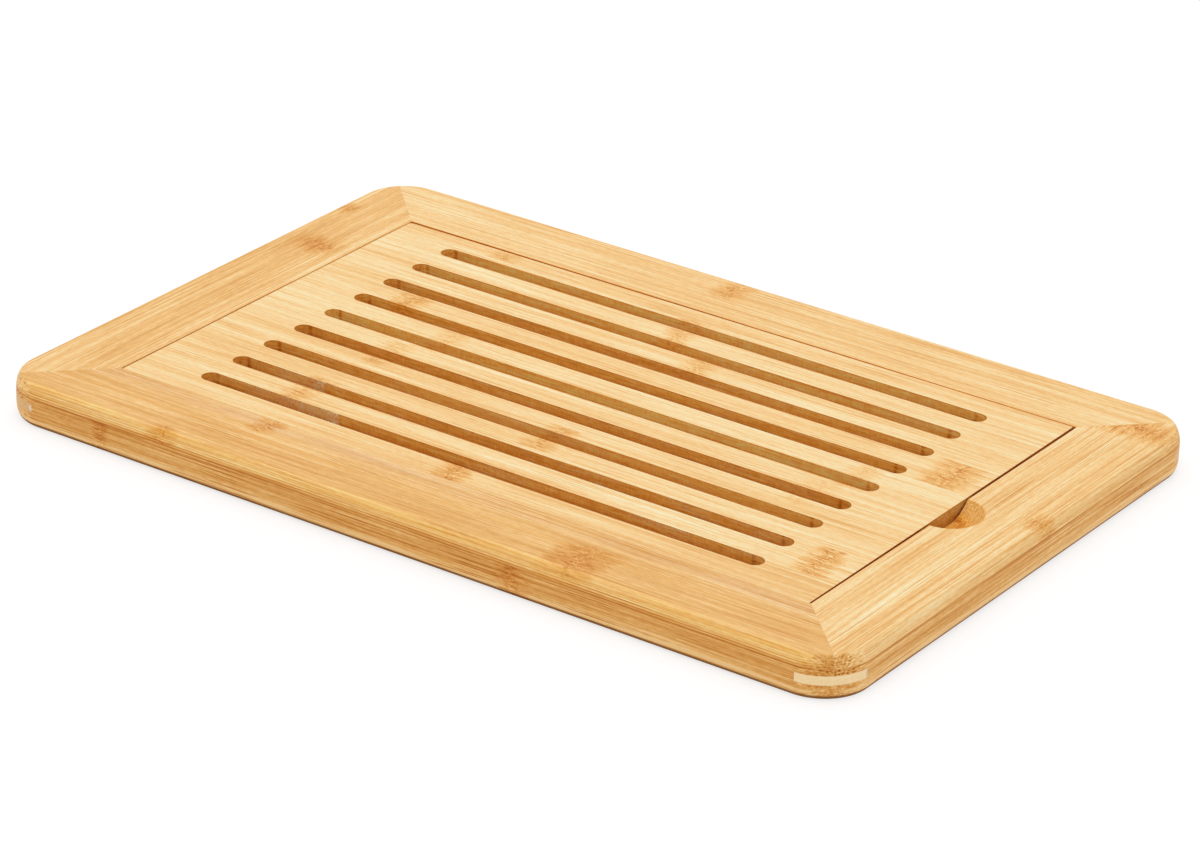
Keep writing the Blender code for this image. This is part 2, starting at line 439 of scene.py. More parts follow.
class NodeBench:
    """Adds shader nodes to one material or world and wires them up."""

    def __init__(self, owner: Union[bpy.types.Material, bpy.types.World]) -> None:
        """Empties the owner's node tree and keeps hold of it."""
        owner.use_nodes = True
        self.tree = owner.node_tree
        self.tree.nodes.clear()

    def plug(self, socket: Socket, feed: Feed) -> None:
        """Links an output to a socket, or sets the socket's value. A colour is given without its alpha.

        Args:
            socket: The input.
            feed: What goes into it.
        """
        if isinstance(feed, bpy.types.NodeSocket):
            self.tree.links.new(feed, socket)
        elif socket.type == "RGBA":
            socket.default_value = (*feed, 1.0)
        else:
            socket.default_value = feed

    def add(self, kind: str, feeds: dict[Union[str, int], Feed], **settings: object) -> bpy.types.Node:
        """Adds one node.

        Args:
            kind: The node's type.
            feeds: What goes into its sockets, by name or number.
            **settings: The node's own settings.

        Returns:
            The node.
        """
        node = self.tree.nodes.new(kind)
        for name, setting in settings.items():
            setattr(node, name, setting)
        for name, feed in feeds.items():
            self.plug(node.inputs[name], feed)
        return node

    def math(self, operation: str, *feeds: Feed, clamp: bool = False) -> Socket:
        """Adds a Math node, its result held between 0 and 1 if that is asked, and returns its output."""
        node = self.add("ShaderNodeMath", dict(enumerate(feeds)), operation=operation, use_clamp=clamp)
        return node.outputs[0]

    def vector_math(self, operation: str, *feeds: Feed) -> bpy.types.Node:
        """Adds a Vector Math node."""
        return self.add("ShaderNodeVectorMath", dict(enumerate(feeds)), operation=operation)

    def times(self, first: Feed, second: Feed) -> Socket:
        """Multiplies two values."""
        return self.math("MULTIPLY", first, second)

    def lift(self, value: Feed, gain: Feed, base: Feed) -> Socket:
        """Adds a value, multiplied by a gain, to a base."""
        return self.math("MULTIPLY_ADD", value, gain, base)

    def rest(self, share: Feed) -> Socket:
        """What a share leaves of the whole."""
        return self.math("SUBTRACT", 1.0, share)

    def away(self, value: Feed, middle: Feed) -> Socket:
        """How far a value lies from a middle, on either side."""
        return self.math("ABSOLUTE", self.math("SUBTRACT", value, middle))

    def combine(self, x: Feed, y: Feed, z: Feed) -> Socket:
        """Makes a vector of three numbers."""
        return self.add("ShaderNodeCombineXYZ", {"X": x, "Y": y, "Z": z}).outputs[0]

    def separate(self, vector: Feed) -> tuple[Socket, Socket, Socket]:
        """Takes a vector apart."""
        outputs = self.add("ShaderNodeSeparateXYZ", {"Vector": vector}).outputs
        return outputs[0], outputs[1], outputs[2]

    def millimetres(self, place: Socket) -> Socket:
        """Turns a place in metres into one in millimetres."""
        return self.add("ShaderNodeMapping", {"Vector": place, "Scale": (MM_PER_METRE,) * 3}).outputs[0]

    def stretch(self, vector: Socket, size: Sequence[float], seed: float) -> Socket:
        """Divides a vector by a feature's size and shifts it by a seed.

        Args:
            vector: The place, in millimetres.
            size: The feature's size along the three axes, in millimetres.
            seed: Tells one strip's pattern from another's.

        Returns:
            The vector that a texture node reads.
        """
        scale = tuple(1.0 / length for length in size)
        shift = tuple(seed * step for step in SEED_STEPS)
        feeds = {"Vector": vector, "Location": shift, "Scale": scale}
        return self.add("ShaderNodeMapping", feeds).outputs[0]

    def noise(self, where: Socket, pattern: Pattern, seed: float = 0.0) -> Socket:
        """Draws a cloudy pattern.

        Args:
            where: The place, in millimetres.
            pattern: The pattern.
            seed: Tells one strip's pattern from another's.

        Returns:
            The pattern's value.
        """
        feeds = {
            "Vector": self.stretch(where, pattern.size_mm, seed + pattern.seed),
            "Scale": 1.0,
            "Detail": pattern.detail,
            "Roughness": pattern.roughness,
        }
        return self.add("ShaderNodeTexNoise", feeds).outputs["Fac"]

    def cells(
        self, where: Socket, size: Sequence[float], seed: float, disorder: float
    ) -> tuple[Socket, Socket]:
        """Draws a pattern of cells.

        Args:
            where: The place, in millimetres.
            size: The cells' size along, across and up, in millimetres.
            seed: Tells one pattern from another.
            disorder: How unevenly the cells lie, from 0 to 1.

        Returns:
            The distance from a cell's middle, and a number of the cell's own.
        """
        feeds = {"Vector": self.stretch(where, size, seed), "Scale": 1.0, "Randomness": disorder}
        outputs = self.add("ShaderNodeTexVoronoi", feeds).outputs
        return outputs["Distance"], self.separate(outputs["Color"])[0]

    def ease(self, value: Feed, step: Ease) -> Socket:
        """Carries a value over a smooth step.

        Args:
            value: The value.
            step: The step.

        Returns:
            The eased value.
        """
        feeds = {
            "Value": value,
            "From Min": step.start,
            "From Max": step.end,
            "To Min": step.low,
            "To Max": step.high,
        }
        return self.add("ShaderNodeMapRange", feeds, interpolation_type="SMOOTHSTEP").outputs["Result"]

    def near(self, value: Feed, middle: Feed, reach: float) -> Socket:
        """Falls smoothly from 1 at a middle to 0 at a reach on either side."""
        return self.ease(self.away(value, middle), Ease(0.0, reach, 1.0, 0.0))

    def blend(self, share: Feed, first: Feed, second: Feed, how: str = "MIX") -> Socket:
        """Blends a share of a second colour into a first one, by a blend type of the Mix node."""
        feeds = dict(zip(MIX_INPUTS, (share, first, second)))
        return self.add("ShaderNodeMix", feeds, data_type="RGBA", blend_type=how).outputs[MIX_OUTPUT]

    def colours(self, value: Socket, stops: Sequence[tuple[float, Colour]]) -> Socket:
        """Turns a value into a colour by a ramp of named stops.

        Args:
            value: Runs over the range of the stops' places.
            stops: Each stop's place on the value's own scale, and its colour.

        Returns:
            The colour.
        """
        start, end = stops[0][0], stops[-1][0]
        position = self.add("ShaderNodeMapRange", {"Value": value, "From Min": start, "From Max": end})
        node = self.add("ShaderNodeValToRGB", {"Fac": position.outputs["Result"]})
        elements = node.color_ramp.elements
        for index, (place, colour) in enumerate(stops):
            share = (place - start) / (end - start)
            element = elements[index] if index < len(elements) else elements.new(share)
            element.position = share
            element.color = (*colour, 1.0)
        return node.outputs["Color"]

    def surface(self, relief: Socket, strength: float, distance: float, feeds: dict[str, Feed]) -> None:
        """Finishes a material with a principled shader on a fine relief.

        Args:
            relief: The relief's height.
            strength: How strongly it shows.
            distance: How deep it is, in metres.
            feeds: What goes into the shader's other sockets.
        """
        bump = self.add("ShaderNodeBump", {"Height": relief, "Strength": strength, "Distance": distance})
        shader = self.add("ShaderNodeBsdfPrincipled", {"Normal": bump.outputs["Normal"], **feeds})
        self.add("ShaderNodeOutputMaterial", {"Surface": shader.outputs["BSDF"]})


@dataclass(frozen=True)
class Knot:
    """A culm node that crosses a strip: an orange-brown wash of short streaks with a few dark dashes.

    One that shows on a part of the strip's width only has a middle and a reach across it as well.
    """

    place_mm: float
    strength: float = 1.0
    reach_mm: float = 9.0
    across_mm: float | None = None
    across_reach_mm: float = 12.0


@dataclass(frozen=True)
class KnotMark:
    """One kind of mark in a knot: its pattern, the step that brings the marks out, and its gain."""

    pattern: Pattern
    step: Ease
    gain: float


@dataclass(frozen=True)
class Streak:
    """A long darker or paler line that follows the fibres, across the strip or up its side."""

    place_mm: float
    width_mm: float
    gain: float
    upright: bool = False


@dataclass(frozen=True)
class Wash:
    """Long bands in which the wood has a tint of its own."""

    streaks: tuple[Streak, ...]
    tint: Colour


@dataclass(frozen=True)
class Stain:
    """How bamboo deepens in colour. Each unit of depth multiplies the colour by the law once more."""

    pale: Colour = (0.930, 0.595, 0.250)
    law: Colour = (0.85, 0.71, 0.49)
    depths: tuple[float, ...] = (-1.5, -0.75, 0.0, 0.75, 1.5, 2.5, 3.5, 5.0)
    brightest: float = 0.95

    def at(self, depth: float) -> Colour:
        """The colour at a depth."""
        return tuple(min(self.brightest, tone * law**depth) for tone, law in zip(self.pale, self.law))

    def stops(self) -> list[tuple[float, Colour]]:
        """The ramp's stops."""
        return [(depth, self.at(depth)) for depth in self.depths]


@dataclass(frozen=True)
class Haze:
    """The grey bloom that the tool left on a milled wall, thick along one stretch where that is given.

    The stretch drifts along the strip with the distance across it, and its end is torn and paler.
    """

    tint: Colour = (0.79, 0.55, 0.27)
    torn_tint: Colour = (0.84, 0.77, 0.50)
    share: float = 0.62
    thin: Ease = Ease(0.47, 0.70, 0.0, 0.3)
    thick: Ease = Ease(0.25, 0.60, 0.5, 1.1)
    speck_mm: float = 0.8
    specks: Ease = Ease(0.40, 0.62, 0.3, 1.7)
    stretch_mm: tuple[float, float] | None = None
    onset_mm: float = 14.0
    onset_share: float = 0.35
    across_mm: float = -79.4
    drift: float = 1.1
    fray_mm: float = 4.0
    edge_mm: tuple[float, float] = (2.5, 2.0)
    torn_mm: tuple[float, float] = (5.0, 1.5)


@dataclass(frozen=True)
class MilledWall:
    """How a wall that the router left differs from the planed faces: browner, chattered and hazy.

    scorch_mm are places along the strip where the tool burnt it, lip and sink are heights near the top
    and near the bottom of a slot, and the sink's gain paints shade on the wall's lower part; gap is where
    the end of the grid lies in the dark, off the scoop, and is given a painted shade colour there.
    """

    tint: Colour = (0.93, 0.73, 0.34)
    end_tint: Colour = (0.66, 0.53, 0.31)
    # Painted shade colour for the grid's ends where they lie in the gaps beside the scoop.
    painted_gap_shade: Colour = (0.50, 0.22, 0.07)
    gap: Ease = Ease(19.0, 21.0)
    depth: float = 0.0
    contrast: float = 2.6
    chatter_gain: float = 2.1
    scuff_gain: float = 3.3
    evenness: float = 0.5
    haze: Haze = Haze()
    scorch_mm: tuple[float, ...] = ()
    scorch_reach_mm: float = 1.5
    scorch_gain: float = 2.4
    # Painted shade towards the bottom of a slot's wall, and its gain.
    low_wall_shade: Ease = Ease(15.6, 14.2)
    low_wall_shade_gain: float = 0.8
    lip: Ease = Ease(18.2, 18.6)
    lip_gain: float = 0.9


@dataclass(frozen=True)
class DishMark:
    """The finger scoop's own look: tan over the cut fibres, orange and speckled in its deepest part."""

    centre_mm: tuple[float, float, float]
    radius_mm: float
    gain: float = 0.6
    calm: float = 0.65
    tint: Colour = (1.0, 0.93, 0.72)
    deep_tint: Colour = (1.0, 0.80, 0.38)
    deepest: Ease = Ease(15.4, 14.6)
    deep_gain: float = -0.5
    specks: Pattern = Pattern((0.7, 0.7, 0.7), 0.79, 1.0)
    speck_gain: float = 1.7


@dataclass(frozen=True)
class Strand:
    """A layer of the fibres: its features' length and width in millimetres, and its gain in stain depth."""

    length: float
    width: float
    gain: float
    seed: float
    detail: float = 2.0
    roughness: float = 0.5

    @property
    def pattern(self) -> Pattern:
        """The layer as a pattern that is as deep as it is wide."""
        return Pattern((self.length, self.width, self.width), self.seed, self.detail, self.roughness)


@dataclass(frozen=True)
class FibrePattern:
    """The layers of a strip's fibres, in millimetres: rods, lines, bands, clouds, flecks and a bend."""

    rod_length: float = 60.0
    rod_width: float = 0.65
    rod_gain: float = 1.1
    rod_disorder: float = 0.85
    rod_core: float = 0.12
    rod_edge: float = 0.46
    lines: Strand = Strand(70.0, 0.75, 3.0, 0.43, 3.0, 0.65)
    bands: Strand = Strand(200.0, 3.0, 1.5, 0.71)
    clouds: Strand = Strand(130.0, 15.0, 0.9, 0.83, 1.0)
    flecks: Strand = Strand(3.5, 0.8, 1.6, 0.97, 3.0, 0.6)
    bend: Strand = Strand(150.0, 24.0, 1.6, 0.11, 1.0)


GRID_FIBRES = FibrePattern()
RAIL_FIBRES = FibrePattern(
    rod_length=70.0,
    rod_width=0.75,
    rod_gain=1.3,
    lines=replace(GRID_FIBRES.lines, length=80.0, width=0.80, gain=3.8),
    clouds=replace(GRID_FIBRES.clouds, gain=0.8),
    flecks=replace(GRID_FIBRES.flecks, length=4.0, width=0.9, gain=1.8),
    bend=replace(GRID_FIBRES.bend, gain=1.0),
)
SIDE_FIBRES = FibrePattern(
    rod_width=1.1,
    rod_gain=2.2,
    rod_disorder=0.6,
    rod_core=0.14,
    rod_edge=0.36,
    lines=replace(GRID_FIBRES.lines, length=60.0, width=0.60, gain=6.0),
    bands=replace(GRID_FIBRES.bands, length=150.0, width=2.0, gain=2.4),
    clouds=replace(GRID_FIBRES.clouds, gain=0.8),
    flecks=replace(GRID_FIBRES.flecks, length=4.0, gain=2.4),
    bend=replace(GRID_FIBRES.bend, gain=1.0),
)

FACES_END = Ease(0.15, 0.75)
FACES_FLOOR = Ease(-0.99, -0.95)
SLOT_WALL = Ease(0.25, 0.75, 1.0, 0.0)
OPENING_WALL = Ease(0.75, 0.97, 1.0, 0.0)
PAST_OPENING = Ease(0.4, 0.8, 1.0, 0.0)
PAST_SCOOP = Ease(0.10, 0.30, 1.0, 0.0)
SCOOP_SPECKS = Ease(0.50, 0.62)

ROD_STRENGTHS = (0.9, 0.3)
ROD_BALANCE = 0.25
DOT_SEED = 0.19
DOT_DISORDER = 0.5
DOTS = Ease(0.26, 0.50, 1.0, 0.0)
DOTTED_END = Ease(0.05, 0.5)

KNOT_WANDER = Pattern((60.0, 12.0, 12.0), 0.61, 1.0)
KNOT_WANDER_MM = 8.0
KNOT_FRAY = Pattern((14.0, 1.6, 1.6), 0.37)
KNOT_FRAY_MM = 10.0
KNOT_SEAM_MM = 3.6
KNOT_SWIRL = Pattern((9.0, 6.0, 6.0), 0.23, 1.0)
KNOT_SWIRL_MM = 3.0
KNOT_WASH_GAIN = 0.15
KNOT_TINT_SHARE = 0.6
KNOT_STREAKS = (
    KnotMark(Pattern((14.0, 1.1, 1.1), 0.17, 1.0), Ease(0.36, 0.60), 0.5),
    KnotMark(Pattern((6.0, 1.6, 1.6), 0.19, 1.0), Ease(0.44, 0.60), 0.6),
    KnotMark(Pattern((1.8, 0.7, 0.7), 0.29, 1.0), Ease(0.58, 0.68), 1.0),
)
KNOT_SQUIGGLES = (
    KnotMark(Pattern((1.3, 0.9, 0.9), 0.31, 1.0), Ease(0.52, 0.62), 1.5),
    KnotMark(Pattern((2.0, 1.5, 1.5), 0.33, 1.0), Ease(0.50, 0.62), -0.6),
)

SEAM_BREAKS = Pattern((45.0, 45.0, 2.0), 0.53, 3.0, 0.6)
SEAM_SHOWN = Ease(0.30, 0.60, 0.15, 1.0)
SEAM_CORE_MM = 0.1
STREAK_BREAKS = Pattern((55.0, 5.0, 1.5), 0.47, 3.0, 0.6)
STREAK_SHOWN = Ease(0.30, 0.54)

SCUFFS = Pattern((6.0, 1.4, 0.9), 0.73, 2.0, 0.6)
CHATTER = Pattern((0.6, 4.0, 3.0), 0.67, 2.0, 0.6)
SCORCH_SHOWN = Ease(0.35, 0.60, 0.35, 1.0)
HAZE_PATCHES = Pattern((26.0, 5.0, 4.0), 0.59, 3.0, 0.6)
HAZE_FRAY = Pattern((2.0, 1.0, 0.8), 0.57)
HAZE_SPECK_SEED = 0.51
HAZE_SPECK_ROUGHNESS = 0.6


@dataclass(frozen=True)
class BambooFinish:
    """Solid bamboo: its fibres run through the strip, as lines on the long faces and dots at the ends."""

    name: str
    grain: Grain
    seed: float
    depth: float
    knots: tuple[Knot, ...] = ()
    streaks: tuple[Streak, ...] = ()
    washes: tuple[Wash, ...] = ()
    knot_tint: Colour = (1.0, 0.88, 0.68)
    slope_mm: tuple[float, float] | None = None
    slope_gain: float = 0.15
    palest: float = -1.5
    wall: MilledWall = MilledWall()
    fibres: FibrePattern = GRID_FIBRES
    skin_height_mm: float | None = None
    skin_gain: float = 0.5
    skin_reach_mm: float = 3.5
    skin_dots: float = 0.0
    skin_dots_mm: float = 2.4
    dot_gain: float = 0.0
    dot_mm: float = 1.05
    seam_gain: float = 1.2
    seam_reach_mm: float = 0.55
    end_gains: tuple[float, float] = (0.9, 0.9)
    end_rods: float = 1.6
    end_calm: float = 0.85
    # Painted contact shadow: a dark brown band on the last of the side above the floor, with its share,
    # colour and fade.
    contact_shadow_share: float = 0.0
    contact_shadow: Colour = (0.22, 0.085, 0.03)
    contact_shadow_fade: Ease = Ease(1.7, 2.4, 1.0, 0.0)
    opening_mm: tuple[float, float] | None = None
    dish: DishMark | None = None
    grid_end: Ease = Ease(168.0, 169.0)
    stain: Stain = Stain()
    roughness: float = 0.5
    gloss_swing: float = 0.16
    shine: float = 0.22
    refraction: float = 1.45
    rod_relief: float = -0.6
    bump_strength: float = 0.22
    bump_distance: float = 0.12 * MM

    def material(self) -> bpy.types.Material:
        """Builds the finish as a material that reads Object coordinates."""
        return BambooDrawing(self).paint()


class BambooDrawing:
    """Draws one strip's bamboo in shader nodes, layer by layer.

    The layers add up to a stain depth, which becomes a colour, and the tints then change that colour.
    """

    def __init__(self, look: BambooFinish) -> None:
        """Opens an empty material and finds the places and masks that the layers read.

        Args:
            look: The strip's finish.
        """
        self.look = look
        self.material = bpy.data.materials.new(look.name)
        self.bench = NodeBench(self.material)
        coordinates = self.bench.add("ShaderNodeTexCoord", {}).outputs
        self.frame_place = self.bench.millimetres(coordinates["Object"])
        self.x, self.y, self.height = self.bench.separate(self.frame_place)
        tilt_x, tilt_y, self.rise = self.bench.separate(coordinates["Normal"])
        if look.grain is Grain.ALONG_X:
            self.along, self.across, facing = self.x, self.y, tilt_x
        else:
            self.along, self.across, facing = self.y, self.x, tilt_y
        self.place = self.bench.combine(self.along, self.across, self.height)
        self.end = self.bench.ease(self.bench.math("ABSOLUTE", facing), FACES_END)
        self.scooped: Feed = 0.0
        self.sunk: Feed = 0.0
        if look.dish is not None:
            self.find_scoop(look.dish)
        self.milled = self.bench.times(self.find_walls(), self.bench.rest(self.scooped))
        self.wash: Feed = 0.0
        self.seam: Feed = 0.0
        if look.knots:
            self.find_knots()
        self.bent = self.bend_fibres()
        self.rods = self.draw_rods()
        self.lines = self.noise(look.fibres.lines.pattern, self.bent)
        self.drawn = self.bench.lift(self.end, -look.end_calm, 1.0)
        self.depth: Feed = look.depth
        self.colour: Feed = look.stain.pale

    def noise(self, pattern: Pattern, where: Socket | None = None) -> Socket:
        """Draws a pattern with the strip's own seed, over the plain place unless another is given."""
        return self.bench.noise(self.place if where is None else where, pattern, self.look.seed)

    def deepen(self, layer: Feed, gain: Feed) -> None:
        """Adds a layer, multiplied by a gain, to the stain depth."""
        self.depth = self.bench.lift(layer, gain, self.depth)

    def tint(self, share: Feed, tint: Feed) -> None:
        """Multiplies the colour by a tint over a share of the surface."""
        self.colour = self.bench.blend(share, self.colour, tint, "MULTIPLY")

    def hump(self, value: Socket, middle: float, reach: float) -> Socket:
        """Rises from 0 to 1 at the middle and falls back, within a reach on both sides."""
        away = self.bench.math("DIVIDE", self.bench.math("SUBTRACT", value, middle), reach)
        return self.bench.math("SUBTRACT", 1.0, self.bench.times(away, away), clamp=True)

    def find_scoop(self, dish: DishMark) -> None:
        """Finds the finger scoop's surface and its deepest part, and calms the end grain there.

        Args:
            dish: The scoop's place and look.
        """
        bench = self.bench
        reach = bench.vector_math("DISTANCE", self.frame_place, dish.centre_mm).outputs["Value"]
        self.scooped = bench.ease(bench.away(reach, dish.radius_mm), PAST_SCOOP)
        self.sunk = bench.ease(self.height, dish.deepest)
        self.end = bench.times(self.end, bench.lift(self.scooped, -dish.calm, 1.0))

    def find_walls(self) -> Socket:
        """Finds the walls that the router left, in the slots or round the opening.

        Returns:
            How far a surface is such a wall.
        """
        bench = self.bench
        level = bench.math("ABSOLUTE", self.rise)
        if self.look.opening_mm is None:
            return bench.ease(level, SLOT_WALL)
        beyond = [
            bench.math("SUBTRACT", bench.math("ABSOLUTE", place), edge)
            for place, edge in zip((self.x, self.y), self.look.opening_mm)
        ]
        inside = bench.ease(bench.math("MAXIMUM", *beyond), PAST_OPENING)
        return bench.times(bench.ease(level, OPENING_WALL), inside)

    def find_knots(self) -> None:
        """Finds the knots' wash and the narrow seam across their middles, both with ragged edges."""
        bench = self.bench
        wander = self.noise(KNOT_WANDER)
        shifted = bench.lift(wander, KNOT_WANDER_MM, self.along)
        aside = bench.lift(wander, KNOT_WANDER_MM, self.across)
        frayed = bench.lift(self.noise(KNOT_FRAY), KNOT_FRAY_MM, shifted)
        offset = KNOT_WANDER_MM / 2
        for knot in self.look.knots:
            share = self.hump(frayed, knot.place_mm + offset + KNOT_FRAY_MM / 2, knot.reach_mm)
            narrow = self.hump(shifted, knot.place_mm + offset, KNOT_SEAM_MM)
            if knot.across_mm is not None:
                local = self.hump(aside, knot.across_mm + offset, knot.across_reach_mm)
                share = bench.times(share, local)
                narrow = bench.times(narrow, local)
            self.wash = bench.lift(share, knot.strength, self.wash)
            self.seam = bench.lift(narrow, knot.strength, self.seam)

    def bend_fibres(self) -> Socket:
        """Lets the fibres wander a little along the strip and swirl round the knots.

        Returns:
            The place with the fibres' wander.
        """
        bench, bend = self.bench, self.look.fibres.bend
        shift = bench.times(self.noise(bend.pattern), bend.gain)
        if self.look.knots:
            swirl = bench.math("SUBTRACT", self.noise(KNOT_SWIRL), 0.5)
            shift = bench.lift(bench.times(swirl, self.wash), KNOT_SWIRL_MM, shift)
        return bench.vector_math("ADD", self.place, bench.combine(0.0, shift, shift)).outputs[0]

    def draw_rods(self) -> Socket:
        """Draws the fibre bundles: long thin rods, which are dots where the strip is cut across.

        Returns:
            The rods' strength.
        """
        fibres = self.look.fibres
        size = (fibres.rod_length, fibres.rod_width, fibres.rod_width)
        distance, own = self.bench.cells(self.bent, size, self.look.seed, fibres.rod_disorder)
        rod = self.bench.ease(distance, Ease(fibres.rod_core, fibres.rod_edge, 1.0, 0.0))
        return self.bench.times(rod, self.bench.lift(own, *ROD_STRENGTHS))

    def streak_mask(self, streaks: Sequence[Streak]) -> Socket:
        """Draws long lines, here and there interrupted.

        Args:
            streaks: The lines.

        Returns:
            The sum of the lines' gains.
        """
        bench = self.bench
        _, across, _ = bench.separate(self.bent)
        wander = self.look.fibres.bend.gain / 2
        shown = bench.ease(self.noise(STREAK_BREAKS), STREAK_SHOWN)
        total: Feed = 0.0
        for streak in streaks:
            value, offset = (self.height, 0.0) if streak.upright else (across, wander)
            line = bench.near(value, streak.place_mm + offset, streak.width_mm)
            total = bench.lift(bench.times(line, shown), streak.gain, total)
        return total

    def add_fibres(self) -> None:
        """Adds the lines, bands, clouds, flecks and rods, balanced round the strip's own depth."""
        fibres = self.look.fibres
        layers = (
            (self.lines, fibres.lines.gain),
            (self.noise(fibres.bands.pattern, self.bent), fibres.bands.gain),
            (self.noise(fibres.clouds.pattern), fibres.clouds.gain),
            (self.noise(fibres.flecks.pattern), fibres.flecks.gain),
        )
        self.depth = self.look.depth - sum(gain for _, gain in layers) / 2 - fibres.rod_gain * ROD_BALANCE
        for layer, gain in layers:
            self.deepen(layer, gain)
        self.deepen(self.rods, self.bench.lift(self.end, self.look.end_rods, fibres.rod_gain))

    def add_end_grain(self) -> None:
        """Adds the even rows of dots and the deeper colour where the strip is cut across."""
        look, bench = self.look, self.bench
        if look.dot_gain:
            size = (look.fibres.rod_length, look.dot_mm, look.dot_mm)
            distance, _ = bench.cells(self.place, size, look.seed + DOT_SEED, DOT_DISORDER)
            gain: Feed = look.dot_gain
            if look.skin_dots:
                skin = look.skin_height_mm
                dense = bench.ease(self.height, Ease(skin - look.skin_reach_mm, skin - look.skin_dots_mm))
                gain = bench.lift(dense, look.skin_dots, look.dot_gain)
            gain = bench.times(gain, bench.ease(self.end, DOTTED_END))
            self.deepen(bench.ease(distance, DOTS), gain)
        self.deepen(self.end, bench.ease(self.along, Ease(-FAR_ENDS_MM, FAR_ENDS_MM, *look.end_gains)))

    def add_skin(self) -> None:
        """Deepens the colour towards the hard outer skin of the culm, and draws the dark seam there."""
        look, bench = self.look, self.bench
        self.deepen(bench.near(self.height, look.skin_height_mm, look.skin_reach_mm), look.skin_gain)
        away = bench.away(self.height, look.skin_height_mm)
        seam = bench.ease(away, Ease(SEAM_CORE_MM, look.seam_reach_mm, 1.0, 0.0))
        seam = bench.times(seam, bench.ease(self.noise(SEAM_BREAKS), SEAM_SHOWN))
        self.deepen(bench.times(seam, self.drawn), look.seam_gain)

    def add_knots(self) -> None:
        """Adds the knots: a wash of short streaks and patches, and a seam of dark and pale squiggles."""
        self.deepen(self.wash, KNOT_WASH_GAIN)
        layers = ((KNOT_STREAKS, self.bent, self.wash), (KNOT_SQUIGGLES, self.place, self.seam))
        for marks, where, mask in layers:
            for mark in marks:
                shown = self.bench.ease(self.noise(mark.pattern, where), mark.step)
                self.deepen(self.bench.times(shown, mask), mark.gain)

    def add_scoop(self, dish: DishMark) -> None:
        """Deepens the scoop's surface and speckles its deepest part.

        Args:
            dish: The scoop's place and look.
        """
        sunk = self.bench.times(self.sunk, self.scooped)
        specks = self.bench.ease(self.noise(dish.specks, self.frame_place), SCOOP_SPECKS)
        self.deepen(self.scooped, dish.gain)
        self.deepen(sunk, dish.deep_gain)
        self.deepen(self.bench.times(specks, sunk), dish.speck_gain)

    def mill_walls(self) -> None:
        """Deepens the milled walls, draws the tool's chatter and its scorches on them, and paints shade on
        their lower part.
        """
        bench, wall = self.bench, self.look.wall
        scuffs = self.noise(SCUFFS)
        middle = (wall.contrast + wall.chatter_gain + wall.scuff_gain) / 2
        gain = bench.lift(self.lines, wall.contrast, wall.depth - middle)
        gain = bench.lift(scuffs, wall.scuff_gain, gain)
        gain = bench.lift(self.noise(CHATTER), wall.chatter_gain, gain)
        for scorch in wall.scorch_mm:
            mark = bench.near(self.along, scorch, wall.scorch_reach_mm)
            mark = bench.times(mark, bench.ease(scuffs, SCORCH_SHOWN))
            gain = bench.lift(mark, wall.scorch_gain, gain)
        gain = bench.lift(bench.ease(self.height, wall.lip), wall.lip_gain, gain)
        # Painted shade towards the bottom of the wall.
        gain = bench.lift(bench.ease(self.height, wall.low_wall_shade), wall.low_wall_shade_gain, gain)
        uneven = bench.math("SUBTRACT", self.depth, self.look.depth)
        self.deepen(self.milled, bench.lift(uneven, -wall.evenness, gain))

    def tint_walls(self) -> None:
        """Gives the milled walls their browner tint, darker still at the ends of the grid, and painted
        shade where those ends lie in the gaps beside the scoop.
        """
        bench, wall = self.bench, self.look.wall
        aside, out = bench.math("ABSOLUTE", self.y), bench.math("ABSOLUTE", self.x)
        # Past the scoop, the grid's ends get painted shade instead of their own tint.
        end_tint = bench.blend(bench.ease(aside, wall.gap), wall.end_tint, wall.painted_gap_shade)
        at_end = bench.ease(out, self.look.grid_end) if self.look.opening_mm is None else 0.0
        self.tint(self.milled, bench.blend(at_end, wall.tint, end_tint))

    def add_haze(self, haze: Haze) -> None:
        """Lays the grey haze over the milled walls, but not over their end grain.

        Args:
            haze: The haze.
        """
        bench = self.bench
        patches = self.noise(HAZE_PATCHES)
        share = bench.ease(patches, haze.thin)
        tint: Feed = haze.tint
        if haze.stretch_mm is not None:
            first, last = haze.stretch_mm
            drift = bench.lift(self.across, haze.drift, -haze.across_mm * haze.drift)
            frayed = bench.lift(self.noise(HAZE_FRAY), haze.fray_mm, self.along)
            frayed = bench.math("ADD", frayed, drift)
            thick = bench.times(
                bench.ease(self.along, Ease(first, first + haze.onset_mm)),
                bench.ease(frayed, Ease(*(last + edge for edge in haze.edge_mm))),
            )
            thick = bench.times(thick, bench.ease(self.along, Ease(first, last, haze.onset_share, 1.0)))
            share = bench.math("MAXIMUM", share, bench.times(thick, bench.ease(patches, haze.thick)))
            torn = bench.ease(frayed, Ease(*(last - edge for edge in haze.torn_mm)))
            tint = bench.blend(torn, haze.tint, haze.torn_tint)
        specks = Pattern((haze.speck_mm,) * 3, HAZE_SPECK_SEED, 1.0, HAZE_SPECK_ROUGHNESS)
        share = bench.times(share, bench.ease(self.noise(specks), haze.specks))
        share = bench.times(bench.times(share, bench.rest(self.end)), self.milled)
        self.colour = bench.blend(bench.times(share, haze.share), self.colour, tint)

    def add_contact_shadow(self) -> Feed:
        """Paints the floor's contact shadow in dark brown on the last of the side above the floor, but not
        on the underside.

        Returns:
            The shine, which the painted contact shadow takes away.
        """
        look, bench = self.look, self.bench
        if not look.contact_shadow_share:
            return look.shine
        contact_shadow = bench.times(bench.ease(self.height, look.contact_shadow_fade), bench.ease(self.rise, FACES_FLOOR))
        self.colour = bench.blend(bench.times(contact_shadow, look.contact_shadow_share), self.colour, look.contact_shadow)
        return bench.lift(contact_shadow, -look.shine, look.shine)

